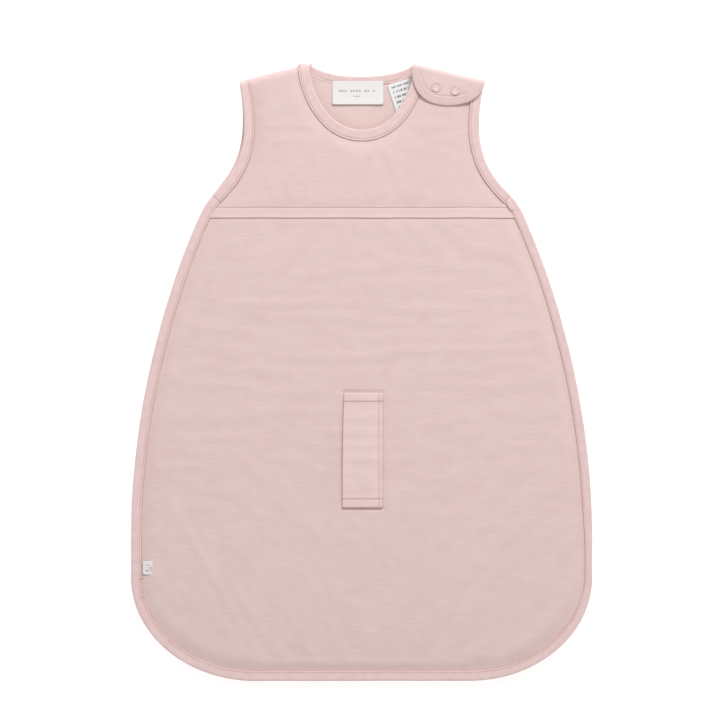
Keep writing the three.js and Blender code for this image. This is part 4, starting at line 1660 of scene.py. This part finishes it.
zipCoil("zipCoilBack", "zip_coil_back", zipper["backCoil"], 0)
zipCoil("zipCoilFront", "zip_coil_front", zipper["frontCoil"], zipper["pitch"] / 2)
garageLoop = evenly(outlineOf("zip_garage")[0], 0.9, True)
garageLoop = garageLoop - garageLoop.mean(0) + zipper["garagePlace"]
garage = softPlate("zipGarage", [garageLoop], level["bindTop"] - zipper["garageSunk"],
                   level["bindTop"] + zipper["garageProud"], finish["rib"], bindLift, 0.9, 1.4)
addFlatUv(garage, garageLoop.min(0))
replaceNodes(garage, "knit_edge", "zip_garage")
print("zip ready")

# Stitching, dropped on to the cloth beneath

thread = {
    "step": 2.5,
    "size": (0.19, 0.19, 0.98),
    "sink": 0.02,
    "slotInset": 4.6,
    "ends": 2,
    "tackLength": 3.6,
    "tackStep": 0.42,
    "tackStart": -226,
    "tackRows": (-210.5, -211.4, -229.3, -230.2),
    "bandReach": 153,
}


def clothUnderThread(names):
    points, faces = [], []
    for name in names:
        mesh = bpy.data.objects[name].data
        base = len(points)
        points += [v.co / mm for v in mesh.vertices]
        faces += [[base + k for k in polygon.vertices] for polygon in mesh.polygons]
    return BVHTree.FromPolygons(points, faces)


def dropped(line, tree, fromAbove=True, spacing=1.2):
    # Gives a flat line its height on the cloth.
    points = evenly(np.asarray(line, float), spacing)
    start, aim = (60, -1) if fromAbove else (-40, 1)
    result = []
    for x, y in points:
        hit = tree.ray_cast(Vector((x, y, start)), Vector((0, 0, aim)))[0]
        if hit is not None:
            result.append((x, y, hit.z - aim * (thread["size"][0] - thread["sink"])))
    return np.array(result)


def stitchRows(name, lines, names, fromAbove=True, step=thread["step"]):
    tree = clothUnderThread(names)
    paths = [dropped(line, tree, fromAbove) for line in lines]
    values = {"Step": step * mm, "Stitch Size": [v * mm for v in thread["size"]], "Finish": finish["thread"]}
    grownOnPaths(name, [path for path in paths if len(path) > 1], "stitch", values)


def seamLine(key, widthName):
    # The stitched groove of a bound edge.
    line = shifted(sewn[key], widths[widthName] - edges["stitchInset"])
    return part(line, thread["ends"], lengthOf(line) - thread["ends"])


def acrossHem(x, y):
    # A short bar tack straight across the bound edge.
    return [(x, y), (x + thread["tackLength"], y + 0.3)]


weltLow, weltHigh = weltParts()
frontNames = ["frontEdgeBinding", "frontNeckBinding", "rightArmholeBindingFront", "leftArmholeBindingFront",
              "frontYokeCloth", "frontLowerCloth", "yokeBand"]
bandXs = np.arange(-thread["bandReach"], thread["bandReach"] + 0.5, 3)
frontLines = [
    seamLine("edgeFront", "edge"),
    seamLine("neckFront", "neck"),
    seamLine("armFrontRight", "arm"),
    seamLine("armFrontLeft", "arm"),
    np.column_stack([bandXs, bandShape["low"] + bandShape["stitched"] + bandStray(bandXs)]),
]
stitchRows("frontStitches", frontLines, frontNames)
tacks = [acrossHem(thread["tackStart"], y) for y in thread["tackRows"]]
stitchRows("hemTacks", tacks, frontNames, step=thread["tackStep"])
upperHem, lowerHem = weltHigh[1] - welt["hem"] + 0.2, weltLow[1] + welt["hem"] - 0.2
weltSeam = weltHigh[0] - welt["rightSeam"]
weltLines = [
    [(weltLow[0] + 2, upperHem), (weltHigh[0] - 1, upperHem)],
    [(weltLow[0] + 1, lowerHem), (weltHigh[0] - 1, lowerHem)],
    [(weltSeam, weltLow[1] + 1), (weltSeam, weltHigh[1] - 1)],
]
stitchRows("weltStitches", weltLines, ["frontHarnessWelt"])
backNames = ["backEdgeBinding", "backNeckBinding", "rightArmholeBindingBack", "leftArmholeBindingBack", "backCloth"]
slotRing = shifted(outlineOf("back_panel")[1], thread["slotInset"], True)
backLines = [
    seamLine("edgeBack", "edge"),
    seamLine("neckBack", "backNeck"),
    seamLine("armBackRight", "arm"),
    seamLine("armBackLeft", "arm"),
    np.vstack([slotRing, slotRing[:1]]),
]
stitchRows("backStitches", backLines, backNames, fromAbove=False)
stitchRows("backNeckStitches", [seamLine("neckBack", "backNeck")], ["backNeckBinding"])
print("stitching ready")

for node in ("zip_slider", "zip_pull", "zip_top_stop", "zip_end_tack"):
    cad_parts[node].data.materials[0] = finish["zip"]

# Every piece of cloth, with the size it is cut to


def cutArea(loops):
    def one(loop):
        x, y = loop.T
        return 0.5 * abs(np.dot(x, np.roll(y, -1)) - np.dot(y, np.roll(x, -1)))
    return (one(loops[0]) - sum(one(hole) for hole in loops[1:])) * mm * mm


def declareSheet(loops):
    cutArea(loops)


for name, node, under in (("frontLowerCloth", "front_lower_panel", ["frontLiningCloth"]),
                          ("frontYokeCloth", "front_yoke", ["frontLiningCloth"]),
                          ("frontLiningCloth", "front_lining", []),
                          ("backCloth", "back_panel", []),
                          ("backLiningCloth", "back_lining", ["backCloth"])):
    declareSheet(clothUnder(node))
declareSheet([weltOutline()])
declareSheet([flapOutline()])
declareSheet(outlineOf("neck_label"))
declareSheet(outlineOf("side_tab_label"))
careCut = np.column_stack([(careLoop - careTop) @ careAcross, (careLoop - careTop) @ careUp])
declareSheet([careCut])
